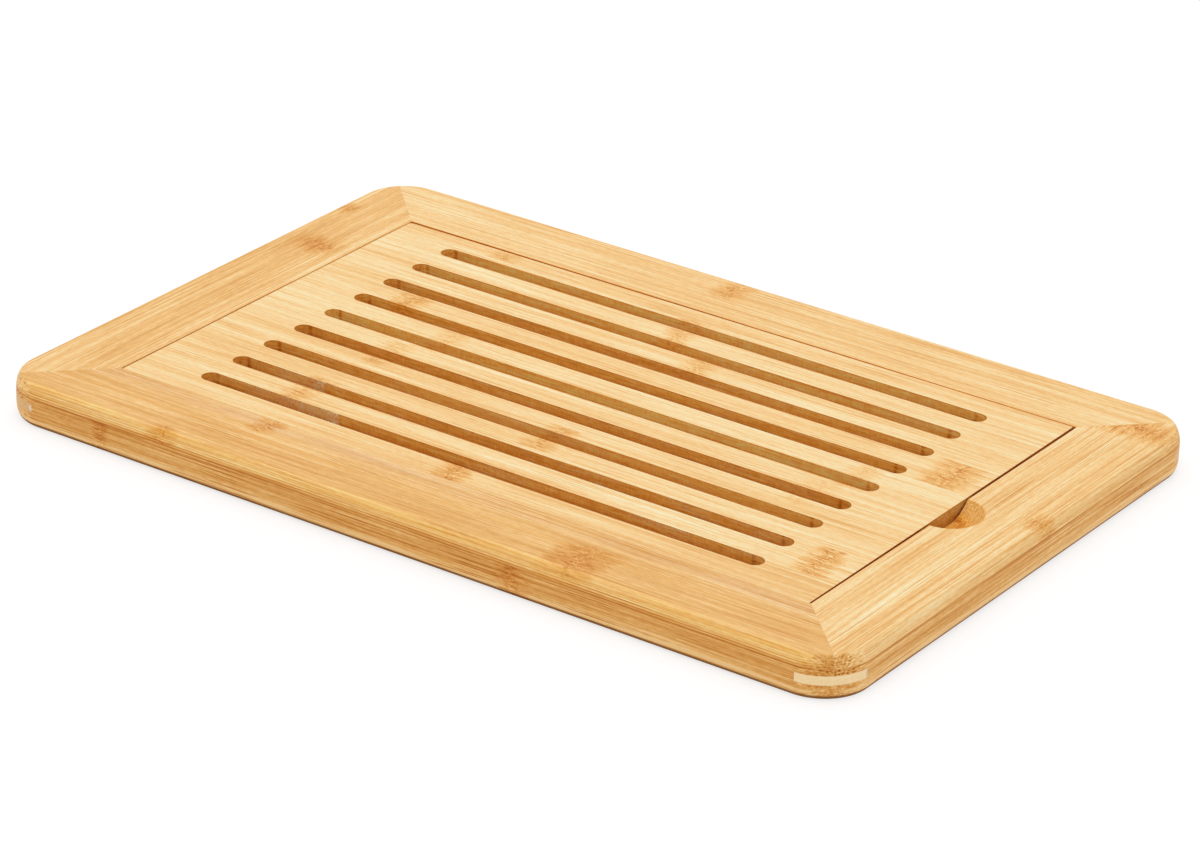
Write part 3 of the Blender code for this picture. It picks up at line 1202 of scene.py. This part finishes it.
    def gather_depth(self) -> Socket:
        """Adds up everything that deepens or lightens the colour.

        Returns:
            The stain depth.
        """
        look = self.look
        self.add_fibres()
        self.add_end_grain()
        if look.skin_height_mm is not None:
            self.add_skin()
        if look.slope_mm is not None:
            self.deepen(self.bench.ease(self.across, Ease(*look.slope_mm)), look.slope_gain)
        if look.streaks:
            self.deepen(self.streak_mask(look.streaks), self.drawn)
        if look.knots:
            self.add_knots()
        if look.dish is not None:
            self.add_scoop(look.dish)
        self.mill_walls()
        return self.bench.math("MAXIMUM", self.depth, look.palest)

    def paint(self) -> bpy.types.Material:
        """Draws the colour, the relief and the gloss, and wires up the shader.

        Returns:
            The material.
        """
        look, bench = self.look, self.bench
        self.colour = bench.colours(self.gather_depth(), look.stain.stops())
        if look.dish is not None:
            self.tint(self.scooped, bench.blend(self.sunk, look.dish.tint, look.dish.deep_tint))
        for wash in look.washes:
            share = bench.math("MULTIPLY", self.streak_mask(wash.streaks), bench.rest(self.end), clamp=True)
            self.tint(share, wash.tint)
        if look.knots:
            self.tint(bench.math("MULTIPLY", self.wash, KNOT_TINT_SHARE, clamp=True), look.knot_tint)
        self.tint_walls()
        self.add_haze(look.wall.haze)
        # The floor's contact shadow is painted here, on the lowest part of the sides.
        shine = self.add_contact_shadow()
        gloss = bench.lift(self.lines, look.gloss_swing, look.roughness - look.gloss_swing / 2)
        feeds = {
            "Base Color": self.colour,
            "Roughness": gloss,
            "IOR": look.refraction,
            "Specular IOR Level": shine,
        }
        relief = bench.lift(self.rods, look.rod_relief, self.lines)
        bench.surface(relief, look.bump_strength, look.bump_distance, feeds)
        return self.material


@dataclass(frozen=True)
class TongueFinish:
    """Pale close-grained wood of the tongues that hold the mitres together, with filler at one place."""

    name: str
    pale: Colour = (0.990, 0.765, 0.440)
    deep: Colour = (0.900, 0.640, 0.310)
    pores: Pattern = Pattern((1.4, 1.4, 0.5), 1.3, 4.0, 0.7)
    pore_range: tuple[float, float] = (0.35, 0.68)
    roughness: float = 0.55
    shine: float = 0.35
    bump_strength: float = 0.2
    bump_distance: float = 0.1 * MM
    filler_place_mm: tuple[float, float, float] | None = None
    filler_reach_mm: tuple[float, float, float] = (2.2, 2.2, 1.6)
    filler_edge: Ease = Ease(1.0, 0.6)
    filler: Colour = (0.82, 0.66, 0.46)

    def material(self) -> bpy.types.Material:
        """Builds the finish as a material that reads Object coordinates.

        Returns:
            The material.
        """
        material = bpy.data.materials.new(self.name)
        bench = NodeBench(material)
        place = bench.millimetres(bench.add("ShaderNodeTexCoord", {}).outputs["Object"])
        pores = bench.noise(place, self.pores)
        colour = bench.colours(pores, list(zip(self.pore_range, (self.pale, self.deep))))
        if self.filler_place_mm is not None:
            away = bench.vector_math("SUBTRACT", place, self.filler_place_mm).outputs[0]
            away = bench.vector_math("DIVIDE", away, self.filler_reach_mm).outputs[0]
            away = bench.vector_math("LENGTH", away).outputs["Value"]
            colour = bench.blend(bench.ease(away, self.filler_edge), colour, self.filler)
        feeds = {"Base Color": colour, "Roughness": self.roughness, "Specular IOR Level": self.shine}
        bench.surface(pores, self.bump_strength, self.bump_distance, feeds)
        return material


@dataclass
class BoardBlank:
    """The whole board before anything is cut from it: a slab with round corners and softened edges."""

    low: Vector
    high: Vector
    corner_radius: float = 22.0 * MM
    shoulder_run: float = 3.0 * MM
    shoulder_drop: float = 7.3 * MM
    heel_run: float = 2.6 * MM
    heel_rise: float = 5.9 * MM
    corner_segments: int = 28
    rim_segments: int = 10

    def make(self, name: str) -> bpy.types.Object:
        """Models the blank.

        Args:
            name: The object's name.

        Returns:
            The blank.
        """
        board = add_box(name, self.low, self.high)
        with edit_mode(board):
            pick_edges(board, is_upright)
            bpy.ops.mesh.bevel(offset=self.corner_radius, segments=self.corner_segments, affect="EDGES")
            self.round_rim(board, self.high.z, self.shoulder_run, self.shoulder_drop)
            self.round_rim(board, self.low.z, self.heel_run, self.heel_rise)
        return board

    def round_rim(self, board: bpy.types.Object, height: float, run: float, drop: float) -> None:
        """Rounds the rim at one height as a quarter of an ellipse.

        The board is squeezed upright until the ellipse is a circle, bevelled, and let out again.

        Args:
            board: The blank, open in edit mode.
            height: The rim's height.
            run: How far the rounding reaches in from the side.
            drop: How far it reaches up or down the side.
        """
        squeeze = run / drop
        rim = (0.0, 0.0, height)
        bpy.ops.mesh.select_all(action="SELECT")
        bpy.ops.transform.resize(value=(1.0, 1.0, squeeze), center_override=rim)
        pick_edges(board, lambda edge: at_height(edge, height))
        bpy.ops.mesh.bevel(offset=run, segments=self.rim_segments, affect="EDGES")
        bpy.ops.mesh.select_all(action="SELECT")
        bpy.ops.transform.resize(value=(1.0, 1.0, 1.0 / squeeze), center_override=rim)


@dataclass
class CornerTongues:
    """The four tongues let into the mitres from outside, and the mortises that they sit in."""

    blank: BoardBlank
    reach: float = 40.0 * MM
    width: float = 28.6 * MM
    low: float = 6.9 * MM
    high: float = 10.8 * MM
    slack: float = 0.02 * MM
    eighth_turn: float = math.pi / 4

    def bar(self, corner: Corner, slack: float, name: str) -> bpy.types.Object:
        """Models a bar along a corner's diagonal.

        Args:
            corner: The corner.
            slack: How much larger the bar is on every side.
            name: The object's name.

        Returns:
            The bar, which stands out past the corner.
        """
        sharp = Vector((self.blank.high.x * corner.outward.x, self.blank.high.y * corner.outward.y, 0.0))
        outward = corner.outward.normalized()
        inner = sharp - outward * (self.reach + slack)
        outer = sharp + outward * self.width
        middle = (inner + outer) / 2
        half_length = (outer - inner).length / 2
        half_width = self.width / 2 + slack
        half = Vector((half_length, half_width, (self.high - self.low) / 2 + slack))
        centre = Vector((middle.x, middle.y, (self.low + self.high) / 2))
        bar = add_box(name, centre - half, centre + half)
        # With no window, the rotate operator turns the other way, so the sign is reversed.
        turn = -self.eighth_turn * corner.outward.x * corner.outward.y
        with edit_mode(bar):
            bpy.ops.mesh.select_all(action="SELECT")
            bpy.ops.transform.rotate(value=turn, orient_axis="Z", center_override=centre)
        return bar

    def mortise_cutter(self) -> bpy.types.Object:
        """Models the cutter for all four mortises."""
        bars = [self.bar(corner, self.slack, f"mortise_{corner.label}") for corner in Corner]
        return join_pieces(bars, "mortise_cutter")

    def build(self, finishes: dict[Corner, TongueFinish]) -> None:
        """Models, dresses and hands over the four tongues.

        Args:
            finishes: The wood of each.
        """
        for corner in Corner:
            material = finishes[corner].material()
            tongue = self.bar(corner, 0.0, f"tongue_{corner.label}_inlay")
            cut_with(tongue, self.blank.make("tongue_outline"), "INTERSECT")
            polish(tongue)
            hand_over(tongue, "frame", f"{corner.label}_tongue", material)


@dataclass
class RailFrame:
    """Four mitred rails of two lamellae each, with the grid's ledge, a crumb well and a finger scoop."""

    blank: BoardBlank
    tongues: CornerTongues
    rail_width: float = 37.5 * MM
    layer_line: float = 13.65 * MM
    ledge_top: float = 12.3 * MM
    ledge_width: float = 8.0 * MM
    seat_lap: float = 3.0 * MM
    seat_top: float = 6.4 * MM
    scoop_ball: float = 20.3 * MM
    scoop_lift: float = 33.0 * MM
    scoop_segments: int = 96
    easing: float = 0.35 * MM
    easing_segments: int = 2
    overshoot: float = 5.0 * MM

    @property
    def opening(self) -> Vector:
        """Half the length and half the width of the grid's opening."""
        return Vector((self.blank.high.x - self.rail_width, self.blank.high.y - self.rail_width, 0.0))

    def cut_well(self, board: bpy.types.Object, shrink: float, low: float, high: float) -> None:
        """Cuts a rectangular hole in the middle of the board.

        Args:
            board: The board.
            shrink: How far its sides lie inside the grid's opening.
            low: Its lowest point.
            high: Its highest point.
        """
        half = self.opening - Vector((shrink, shrink, 0.0))
        cutter = add_box("well_cutter", Vector((-half.x, -half.y, low)), Vector((half.x, half.y, high)))
        cut_with(board, cutter)

    def cut_scoop(self, board: bpy.types.Object) -> None:
        """Cuts the finger scoop, a shallow dish in the right rail."""
        deselect_all()
        bpy.ops.mesh.primitive_uv_sphere_add(
            segments=self.scoop_segments,
            ring_count=self.scoop_segments // 2,
            radius=self.scoop_ball,
            location=(self.opening.x, 0.0, self.scoop_lift),
        )
        cutter = bpy.context.active_object
        bpy.ops.object.transform_apply(location=True, rotation=True, scale=True)
        cut_with(board, cutter)

    def make_ring(self) -> bpy.types.Object:
        """Models the four rails as one ring, before they are sawn apart.

        Returns:
            The ring.
        """
        board = self.blank.make("rail_ring")
        below, above = self.blank.low.z - self.overshoot, self.blank.high.z + self.overshoot
        self.cut_well(board, 0.0, self.ledge_top, above)
        self.cut_well(board, self.ledge_width, below, above)
        self.cut_well(board, self.seat_lap, below, self.seat_top)
        self.cut_scoop(board)
        count = ease_arrises(
            board,
            self.blank.high.z,
            self.easing,
            self.easing_segments,
            lambda edge: not is_at_front(edge, -self.opening.y),
        )
        LOG.info("eased %d edges of the opening", count)
        cut_with(board, self.tongues.mortise_cutter())
        return board

    def mitres(self, side: Side) -> tuple[Vector, Vector]:
        """The two directions that point from a rail's mitres into the rail."""
        return {
            Side.FRONT: (Vector((1.0, -1.0, 0.0)), Vector((-1.0, -1.0, 0.0))),
            Side.RIGHT: (Vector((1.0, 1.0, 0.0)), Vector((1.0, -1.0, 0.0))),
            Side.BACK: (Vector((-1.0, 1.0, 0.0)), Vector((1.0, 1.0, 0.0))),
            Side.LEFT: (Vector((-1.0, 1.0, 0.0)), Vector((-1.0, -1.0, 0.0))),
        }[side]

    def saw_rail(self, ring: bpy.types.Object, side: Side) -> bpy.types.Object:
        """Saws one rail out of the ring along its mitres.

        Args:
            ring: The ring, which stays whole.
            side: The rail.

        Returns:
            The rail.
        """
        rail = copy_piece(ring, f"rail_{side.value}")
        half = self.blank.high
        for kept in self.mitres(side):
            corner = self.mitre_corner(side, kept)
            saw(rail, Vector((half.x * corner.x, half.y * corner.y, 0.0)), kept)
        return rail

    def mitre_corner(self, side: Side, kept: Vector) -> Vector:
        """The signs of the corner that a mitre runs to."""
        if side in (Side.FRONT, Side.BACK):
            return Vector((-kept.x, kept.y, 0.0))
        return Vector((kept.x, -kept.y, 0.0))

    def build(self, finishes: dict[tuple[Side, Layer], BambooFinish]) -> None:
        """Models, dresses and hands over the rails.

        Args:
            finishes: The bamboo of each lamella.
        """
        ring = self.make_ring()
        line = Vector((0.0, 0.0, self.layer_line))
        up = Vector((0.0, 0.0, 1.0))
        for side in Side:
            rail = self.saw_rail(ring, side)
            for layer, kept, node in ((Layer.UPPER, up, "top"), (Layer.LOWER, -up, "base")):
                piece = copy_piece(rail, f"rail_{side.value}_{layer.value}")
                saw(piece, line, kept)
                polish(piece)
                material = finishes[side, layer].material()
                hand_over(piece, "frame", f"{side.value}_rail_{node}", material)
            discard(rail)
        discard(ring)


@dataclass
class CrumbTray:
    """The floor of the crumb well, glued up from strips and let in from below."""

    rails: RailFrame
    count: int = 8
    seat_gap: float = 0.05 * MM
    easing: float = 0.12 * MM
    easing_segments: int = 2

    def build(self, finishes: Sequence[BambooFinish]) -> None:
        """Models the floor as one panel, rips it into strips and hands them over.

        Args:
            finishes: The bamboo of each strip, from the front.
        """
        nodes = stave_nodes("floor_stave", self.count)
        low, _ = span(nodes)
        seat = self.rails.opening - Vector((self.rails.seat_lap, self.rails.seat_lap, 0.0))
        half = seat - Vector((self.seat_gap, self.seat_gap, 0.0))
        high = Vector((half.x, half.y, self.rails.seat_top - self.seat_gap))
        panel = add_box("tray_panel", Vector((-half.x, -half.y, low.z)), high)
        for strip, node, finish in zip(rip(panel, joint_planes(nodes), "tray_strip"), nodes, finishes):
            with edit_mode(strip):
                pick_edges(strip, lambda edge: not is_upright(edge))
                bpy.ops.mesh.bevel(offset=self.easing, segments=self.easing_segments, affect="EDGES")
            polish(strip)
            hand_over(strip, "frame", node, finish.material())


@dataclass
class SlottedGrid:
    """The loose grid: nine staves glued edge to edge, with nine slots milled through them."""

    rails: RailFrame
    count: int = 9
    corner_radius: float = 0.7 * MM
    worn_radius: float = 2.2 * MM
    worn_corner: Corner = Corner.BACK_LEFT
    corner_segments: int = 8
    out_of_square: tuple[tuple[Corner, float, float], ...] = (
        (Corner.FRONT_LEFT, 0.35 * MM, 0.0),
        (Corner.FRONT_RIGHT, 0.35 * MM, 0.0),
        (Corner.BACK_RIGHT, 0.0, 0.55 * MM),
        (Corner.BACK_LEFT, 0.0, -0.25 * MM),
    )
    edge_easing: float = 0.3 * MM
    slot_easing: float = 0.18 * MM
    easing_segments: int = 2
    seat_gap: float = 0.02 * MM
    front_gap: float = 0.02 * MM
    slot_count: int = 9
    slot_width: float = 8.2 * MM
    slot_start: float = -141.9 * MM
    slot_end: float = 139.2 * MM
    slot_front: float = -83.51 * MM
    slot_pitch: float = 20.79 * MM
    slot_segments: int = 24
    slot_roundness: float = 0.999

    @property
    def nodes(self) -> list[str]:
        """The nodes that the staves stand for, from the front."""
        return stave_nodes("grid_stave", self.count)

    def make_panel(self) -> bpy.types.Object:
        """Models the grid as one panel with its slots.

        Returns:
            The panel.
        """
        low, high = span(self.nodes)
        low.z = self.rails.ledge_top + self.seat_gap
        low.y = -self.rails.opening.y + self.front_gap
        panel = add_box("grid_panel", low, high)
        with edit_mode(panel):
            for corner, aside, back in self.out_of_square:
                pick_uprights(panel, [corner])
                bpy.ops.transform.translate(value=(aside, back, 0.0))
            sharp = [corner for corner in Corner if corner is not self.worn_corner]
            for corners, radius in (([self.worn_corner], self.worn_radius), (sharp, self.corner_radius)):
                pick_uprights(panel, corners)
                bpy.ops.mesh.bevel(offset=radius, segments=self.corner_segments, affect="EDGES")
        self.ease_top(panel, self.edge_easing)
        cut_with(panel, self.slot_cutter(low.z, high.z))
        LOG.info("eased %d edges of the slots", self.ease_top(panel, self.slot_easing))
        return panel

    def ease_top(self, panel: bpy.types.Object, reach: float) -> int:
        """Softens the sharp edges of the grid's top, except along the tight seam at the front.

        Args:
            panel: The grid's panel.
            reach: The width of the softened edge.

        Returns:
            How many edges were softened.
        """
        _, high = span(self.nodes)
        front = -self.rails.opening.y + self.front_gap
        return ease_arrises(
            panel, high.z, reach, self.easing_segments, lambda edge: not is_at_front(edge, front)
        )

    def slot_cutter(self, low: float, high: float) -> bpy.types.Object:
        """Models one slot's cutter and repeats it for the whole row.

        Args:
            low: The grid's underside.
            high: The grid's top.

        Returns:
            The cutter.
        """
        half = self.slot_width / 2
        spare = self.rails.overshoot
        start = Vector((self.slot_start, self.slot_front - half, low - spare))
        end = Vector((self.slot_end, self.slot_front + half, high + spare))
        cutter = add_box("slot_cutter", start, end)
        with edit_mode(cutter):
            pick_edges(cutter, is_upright)
            radius = half * self.slot_roundness
            bpy.ops.mesh.bevel(offset=radius, segments=self.slot_segments, affect="EDGES")
        row = cutter.modifiers.new("row", "ARRAY")
        row.count = self.slot_count
        row.use_relative_offset = False
        row.use_constant_offset = True
        row.constant_offset_displace = (0.0, self.slot_pitch, 0.0)
        bpy.ops.object.modifier_apply(modifier=row.name)
        return cutter

    def build(self, finishes: Sequence[BambooFinish]) -> None:
        """Models the panel, rips it into staves and hands them over.

        Args:
            finishes: The bamboo of each stave, from the front.
        """
        slats = rip(self.make_panel(), joint_planes(self.nodes), "grid_slat")
        for slat, node, finish in zip(slats, self.nodes, finishes):
            polish(slat)
            hand_over(slat, "grid", node, finish.material())


@dataclass
class Studio:
    """Plain soft light, a white floor and the camera that took the photograph."""

    floor_half: float = 8.0
    floor_drop: float = 0.02 * MM
    floor_tone: float = 0.97
    floor_glow: float = 0.70
    floor_shade: float = 0.34
    sky: float = 0.80
    lamp_power: float = 9.0
    lamp_size: float = 1.6
    lamp_place: tuple[float, float, float] = (-0.25, 0.25, 1.9)
    camera_place: tuple[float, float, float] = (1.06688, -1.54505, 0.89760)
    camera_aim: tuple[float, float, float] = (0.00750, -0.00705, 0.00950)
    camera_roll: float = math.radians(1.705)
    lens_mm: float = 149.45
    sensor_mm: float = 36.0

    def seen_directly(self, bench: NodeBench) -> Socket:
        """1 for rays that show the background itself, 0 for rays that only carry light."""
        path = bench.add("ShaderNodeLightPath", {}).outputs
        seen = bench.math("MAXIMUM", path["Is Camera Ray"], path["Is Glossy Ray"])
        return bench.math("MAXIMUM", seen, path["Is Transmission Ray"])

    def split(self, bench: NodeBench, lit: bpy.types.Node, seen: bpy.types.Node) -> Socket:
        """Mixes a shader for rays that only carry light with one for rays that the eye sees."""
        feeds = {0: self.seen_directly(bench), 1: lit.outputs[0], 2: seen.outputs[0]}
        return bench.add("ShaderNodeMixShader", feeds).outputs[0]

    def build_floor(self) -> None:
        """Lays the floor, white to the eye and with the board's soft shadow on it."""
        deselect_all()
        bpy.ops.mesh.primitive_plane_add(size=2 * self.floor_half, location=(0.0, 0.0, -self.floor_drop))
        floor = bpy.context.active_object
        floor.name = "studio_floor"
        bpy.ops.object.transform_apply(location=True, rotation=True, scale=True)
        material = bpy.data.materials.new("studio_floor_white")
        bench = NodeBench(material)
        plain = bench.add("ShaderNodeBsdfDiffuse", {"Color": (self.floor_tone,) * 3})
        shade = bench.add("ShaderNodeBsdfDiffuse", {"Color": (self.floor_shade,) * 3})
        glow = bench.add("ShaderNodeEmission", {"Color": WHITE, "Strength": self.floor_glow})
        shown = bench.add("ShaderNodeAddShader", {0: shade.outputs[0], 1: glow.outputs[0]})
        bench.add("ShaderNodeOutputMaterial", {"Surface": self.split(bench, plain, shown)})
        floor.data.materials.append(material)

    def build_sky(self) -> None:
        """Lights the board evenly from all round, before a white background."""
        world = bpy.data.worlds.new("studio_sky")
        bpy.context.scene.world = world
        bench = NodeBench(world)
        soft = bench.add("ShaderNodeBackground", {"Color": WHITE, "Strength": self.sky})
        white = bench.add("ShaderNodeBackground", {"Color": WHITE, "Strength": 1.0})
        bench.add("ShaderNodeOutputWorld", {"Surface": self.split(bench, soft, white)})

    def build_lamp(self) -> None:
        """Hangs the large soft lamp above the board."""
        deselect_all()
        bpy.ops.object.light_add(type="AREA", location=self.lamp_place)
        lamp = bpy.context.active_object
        lamp.name = "studio_softbox"
        lamp.data.size = self.lamp_size
        lamp.data.energy = self.lamp_power
        lamp.rotation_mode = "QUATERNION"
        lamp.rotation_quaternion = (-Vector(self.lamp_place)).to_track_quat("-Z", "Y")

    def build_camera(self) -> None:
        """Sets up the camera at the photograph's view."""
        deselect_all()
        bpy.ops.object.camera_add(location=self.camera_place)
        camera = bpy.context.active_object
        camera.name = "photo_camera"
        camera.data.lens = self.lens_mm
        camera.data.sensor_width = self.sensor_mm
        camera.rotation_mode = "QUATERNION"
        level = (Vector(self.camera_aim) - Vector(self.camera_place)).to_track_quat("-Z", "Y")
        camera.rotation_quaternion = level @ Quaternion((0.0, 0.0, 1.0), self.camera_roll)
        bpy.context.scene.camera = camera

    def build(self) -> None:
        """Builds the whole studio."""
        self.build_camera()
        self.build_floor()
        self.build_sky()
        self.build_lamp()
        bpy.context.scene.view_settings.view_transform = "Standard"
        LOG.info("studio is set up")


def rail_finishes(rails: RailFrame) -> dict[tuple[Side, Layer], BambooFinish]:
    """The bamboo of the eight lamellae of the rails.

    Args:
        rails: The rails, which say where their opening, glue line and scoop are.

    Returns:
        The finish of each lamella.
    """
    opening_mm = (rails.opening.x * MM_PER_METRE, rails.opening.y * MM_PER_METRE)
    scoop_mm = (opening_mm[0], 0.0, rails.scoop_lift * MM_PER_METRE)
    scoop = DishMark(scoop_mm, rails.scoop_ball * MM_PER_METRE)
    faint = Haze(share=0.1)
    wall = MilledWall(tint=(1.0, 0.58, 0.20), depth=-0.9, haze=faint, lip_gain=0.0, low_wall_shade_gain=0.0)
    shared = {"skin_height_mm": rails.layer_line * MM_PER_METRE, "opening_mm": opening_mm, "wall": wall}
    looks = {
        Layer.UPPER: {"fibres": RAIL_FIBRES, "skin_gain": 0.1, "dot_gain": 1.6},
        Layer.LOWER: {
            "fibres": SIDE_FIBRES,
            "skin_dots": 2.8,
            "dot_gain": 0.8,
            "dot_mm": 1.1,
            "skin_gain": 0.25,
            "end_rods": 0.4,
            "palest": -0.1,
            # Painted contact shadow along the bottom of each rail's side.
            "contact_shadow_share": 0.8,
        },
    }
    # Painted light from the white floor's bounce: a paler band low on each rail's side.
    painted_bounce_band = Streak(3.4, 2.6, -1.8, True)
    lamellae = {
        (Side.FRONT, Layer.UPPER): {
            "depth": 0.80,
            "knots": (
                Knot(-90.0, 1.2, 8.0, -106.0, 8.0),
                Knot(82.0, 1.4, 15.0, -125.0, 14.0),
                Knot(-121.0, 0.8, 9.0, -136.0, 5.0),
            ),
            "streaks": (
                Streak(-135.4, 2.6, -0.8),
                Streak(-128.0, 1.4, 0.4),
                Streak(-103.5, 3.0, -0.2),
                Streak(17.4, 0.25, 0.7, True),
                Streak(16.5, 0.30, 1.0, True),
                Streak(16.2, 2.0, -0.7, True),
                Streak(15.6, 0.30, 1.9, True),
                Streak(14.5, 0.40, 2.6, True),
            ),
            "washes": (
                Wash((Streak(-136.0, 3.6, 0.9), Streak(-118.0, 1.6, 0.5)), HONEY),
                Wash((Streak(-105.2, 6.5, 0.9),), ASH),
            ),
            "slope_mm": (-103.0, -134.0),
            "end_gains": (-0.7, 0.6),
        },
        (Side.RIGHT, Layer.UPPER): {
            "depth": 0.2,
            "knots": (Knot(115.0, 1.5, 12.0, 190.0, 22.0), Knot(14.0, 1.0, 9.0, 206.0, 6.0)),
            "streaks": (Streak(180.5, 1.0, 0.8), Streak(200.5, 1.2, 0.8), Streak(204.5, 1.0, 0.5)),
            "slope_mm": (196.0, 206.0),
            "end_gains": (0.2, 0.2),
            "dish": scoop,
        },
        (Side.BACK, Layer.UPPER): {
            "depth": 0.3,
            "knots": (Knot(-16.0, 1.0, 9.0, 127.0, 13.0),),
            # Painted shade: the back rail's inner wall is darkened where it lies in the deep gap behind the
            # grid.
            "wall": replace(wall, tint=(1.0, 0.66, 0.10), depth=1.5),
        },
        (Side.LEFT, Layer.UPPER): {
            "depth": 0.7,
            "knots": (Knot(53.0, 1.3, 10.0, -189.0, 14.0), Knot(95.0, 1.0, 6.0, -204.0, 6.0)),
            "streaks": (Streak(-175.0, 2.5, -0.5),),
            "end_gains": (-0.6, -0.6),
        },
        (Side.FRONT, Layer.LOWER): {
            "depth": 1.85,
            "knots": (Knot(-153.0, 0.7, 5.0), Knot(58.0, 1.0)),
            "streaks": (
                Streak(13.3, 0.40, 1.5, True),
                Streak(12.6, 0.8, -0.4, True),
                Streak(12.2, 0.30, 1.0, True),
                Streak(10.3, 0.9, 0.8, True),
                Streak(7.6, 0.35, 0.9, True),
                painted_bounce_band,
            ),
            "end_gains": (-1.0, 0.2),
        },
        (Side.RIGHT, Layer.LOWER): {
            "depth": 1.4,
            "streaks": (
                Streak(13.3, 0.35, 2.0, True),
                Streak(11.0, 0.25, 1.2, True),
                Streak(9.0, 4.0, 0.4, True),
                painted_bounce_band,
            ),
            "end_gains": (0.2, 0.2),
            "dish": replace(scoop, gain=-0.6),
        },
        (Side.BACK, Layer.LOWER): {
            "depth": 1.4,
            "knots": (Knot(-70.0, 1.0),),
            "streaks": (Streak(12.2, 0.35, 1.0, True), painted_bounce_band),
        },
        (Side.LEFT, Layer.LOWER): {
            "depth": 1.4,
            "knots": (Knot(-30.0, 0.8),),
            "streaks": (Streak(12.8, 0.35, 1.0, True), painted_bounce_band),
            "end_gains": (-0.6, -0.6),
        },
    }
    finishes = {}
    for number, (side, layer) in enumerate((side, layer) for layer in Layer for side in Side):
        finishes[side, layer] = BambooFinish(
            name=f"{side.value}_rail_{layer.value}_bamboo",
            grain=Grain.ALONG_X if side in (Side.FRONT, Side.BACK) else Grain.ALONG_Y,
            seed=number + 1.0,
            **{**shared, **looks[layer], **lamellae[side, layer]},
        )
    return finishes


def grid_finishes() -> list[BambooFinish]:
    """The bamboo of the nine staves of the grid, from the front."""
    depths = (0.32, 0.0, 0.06, 0.0, -0.16, 0.12, 0.04, -0.10, 0.12)
    knots = (
        (Knot(-4.0, 1.25),),
        (Knot(-100.0, 0.8), Knot(156.0, 1.2)),
        (Knot(8.0, 0.8),),
        (Knot(-94.0, 0.5), Knot(119.0, 0.4)),
        (Knot(-83.0, 0.5), Knot(127.0, 0.4)),
        (Knot(-120.0, 1.0), Knot(155.0, 1.15, 12.0)),
        (Knot(16.0, 0.7),),
        (Knot(-8.0, 0.8),),
        (Knot(-115.0, 0.6),),
    )
    wall_depths = (0.0, 0.35, 0.05, 0.4, -0.35, 0.25, 0.1, -0.2, -0.3)
    hazy = {1: (-131.0, -74.0)}
    scorched = MilledWall(scorch_mm=(-137.6, 132.2))
    first_seed = 11.0
    return [
        BambooFinish(
            name=f"grid_bamboo_{number + 1}",
            grain=Grain.ALONG_X,
            seed=first_seed + number,
            depth=depth,
            knots=knots[number],
            wall=replace(scorched, depth=wall_depths[number], haze=Haze(stretch_mm=hazy.get(number))),
        )
        for number, depth in enumerate(depths)
    ]


def tongue_finishes() -> dict[Corner, TongueFinish]:
    """The wood of the four tongues, of which two are nearly as brown as the rails."""
    looks = {
        Corner.FRONT_RIGHT: {
            "filler_place_mm": (210.0, -118.0, 8.9),
            "filler_reach_mm": (2.0, 0.9, 3.4),
            "filler": (0.72, 0.53, 0.34),
        },
        Corner.FRONT_LEFT: {
            "pale": (0.80, 0.50, 0.22),
            "deep": (0.66, 0.37, 0.14),
            "filler_place_mm": (-189.5, -138.0, 9.0),
        },
        Corner.BACK_RIGHT: {"pale": (0.86, 0.56, 0.27), "deep": (0.72, 0.42, 0.18)},
    }
    return {
        corner: TongueFinish(f"tongue_wood_{corner.label}", **looks.get(corner, {})) for corner in Corner
    }


def tray_finishes() -> list[BambooFinish]:
    """The bamboo of the eight strips of the tray, from the front."""
    depths = (0.3, 0.1, 0.4, 0.2, 0.0, 0.35, 0.15, 0.25)
    places = (-118.0, 64.0, -31.0, 141.0, -86.0, 22.0, 109.0, -140.0)
    first_seed, knot_strength = 31.0, 0.7
    return [
        BambooFinish(
            name=f"tray_bamboo_{number + 1}",
            grain=Grain.ALONG_X,
            seed=first_seed + number,
            depth=depth,
            knots=(Knot(place, knot_strength),),
        )
        for number, (depth, place) in enumerate(zip(depths, places))
    ]


def main() -> None:
    """Builds the studio and the board's sub-assemblies in order."""
    logging.basicConfig(level=logging.INFO, format="%(name)s: %(message)s")
    Studio().build()
    low, high = span([f"{side.value}_rail_{layer}" for side in Side for layer in ("top", "base")])
    blank = BoardBlank(low, high)
    tongues = CornerTongues(blank)
    rails = RailFrame(blank, tongues)
    rails.build(rail_finishes(rails))
    tongues.build(tongue_finishes())
    CrumbTray(rails).build(tray_finishes())
    SlottedGrid(rails).build(grid_finishes())


if __name__ == "__main__":
    main()
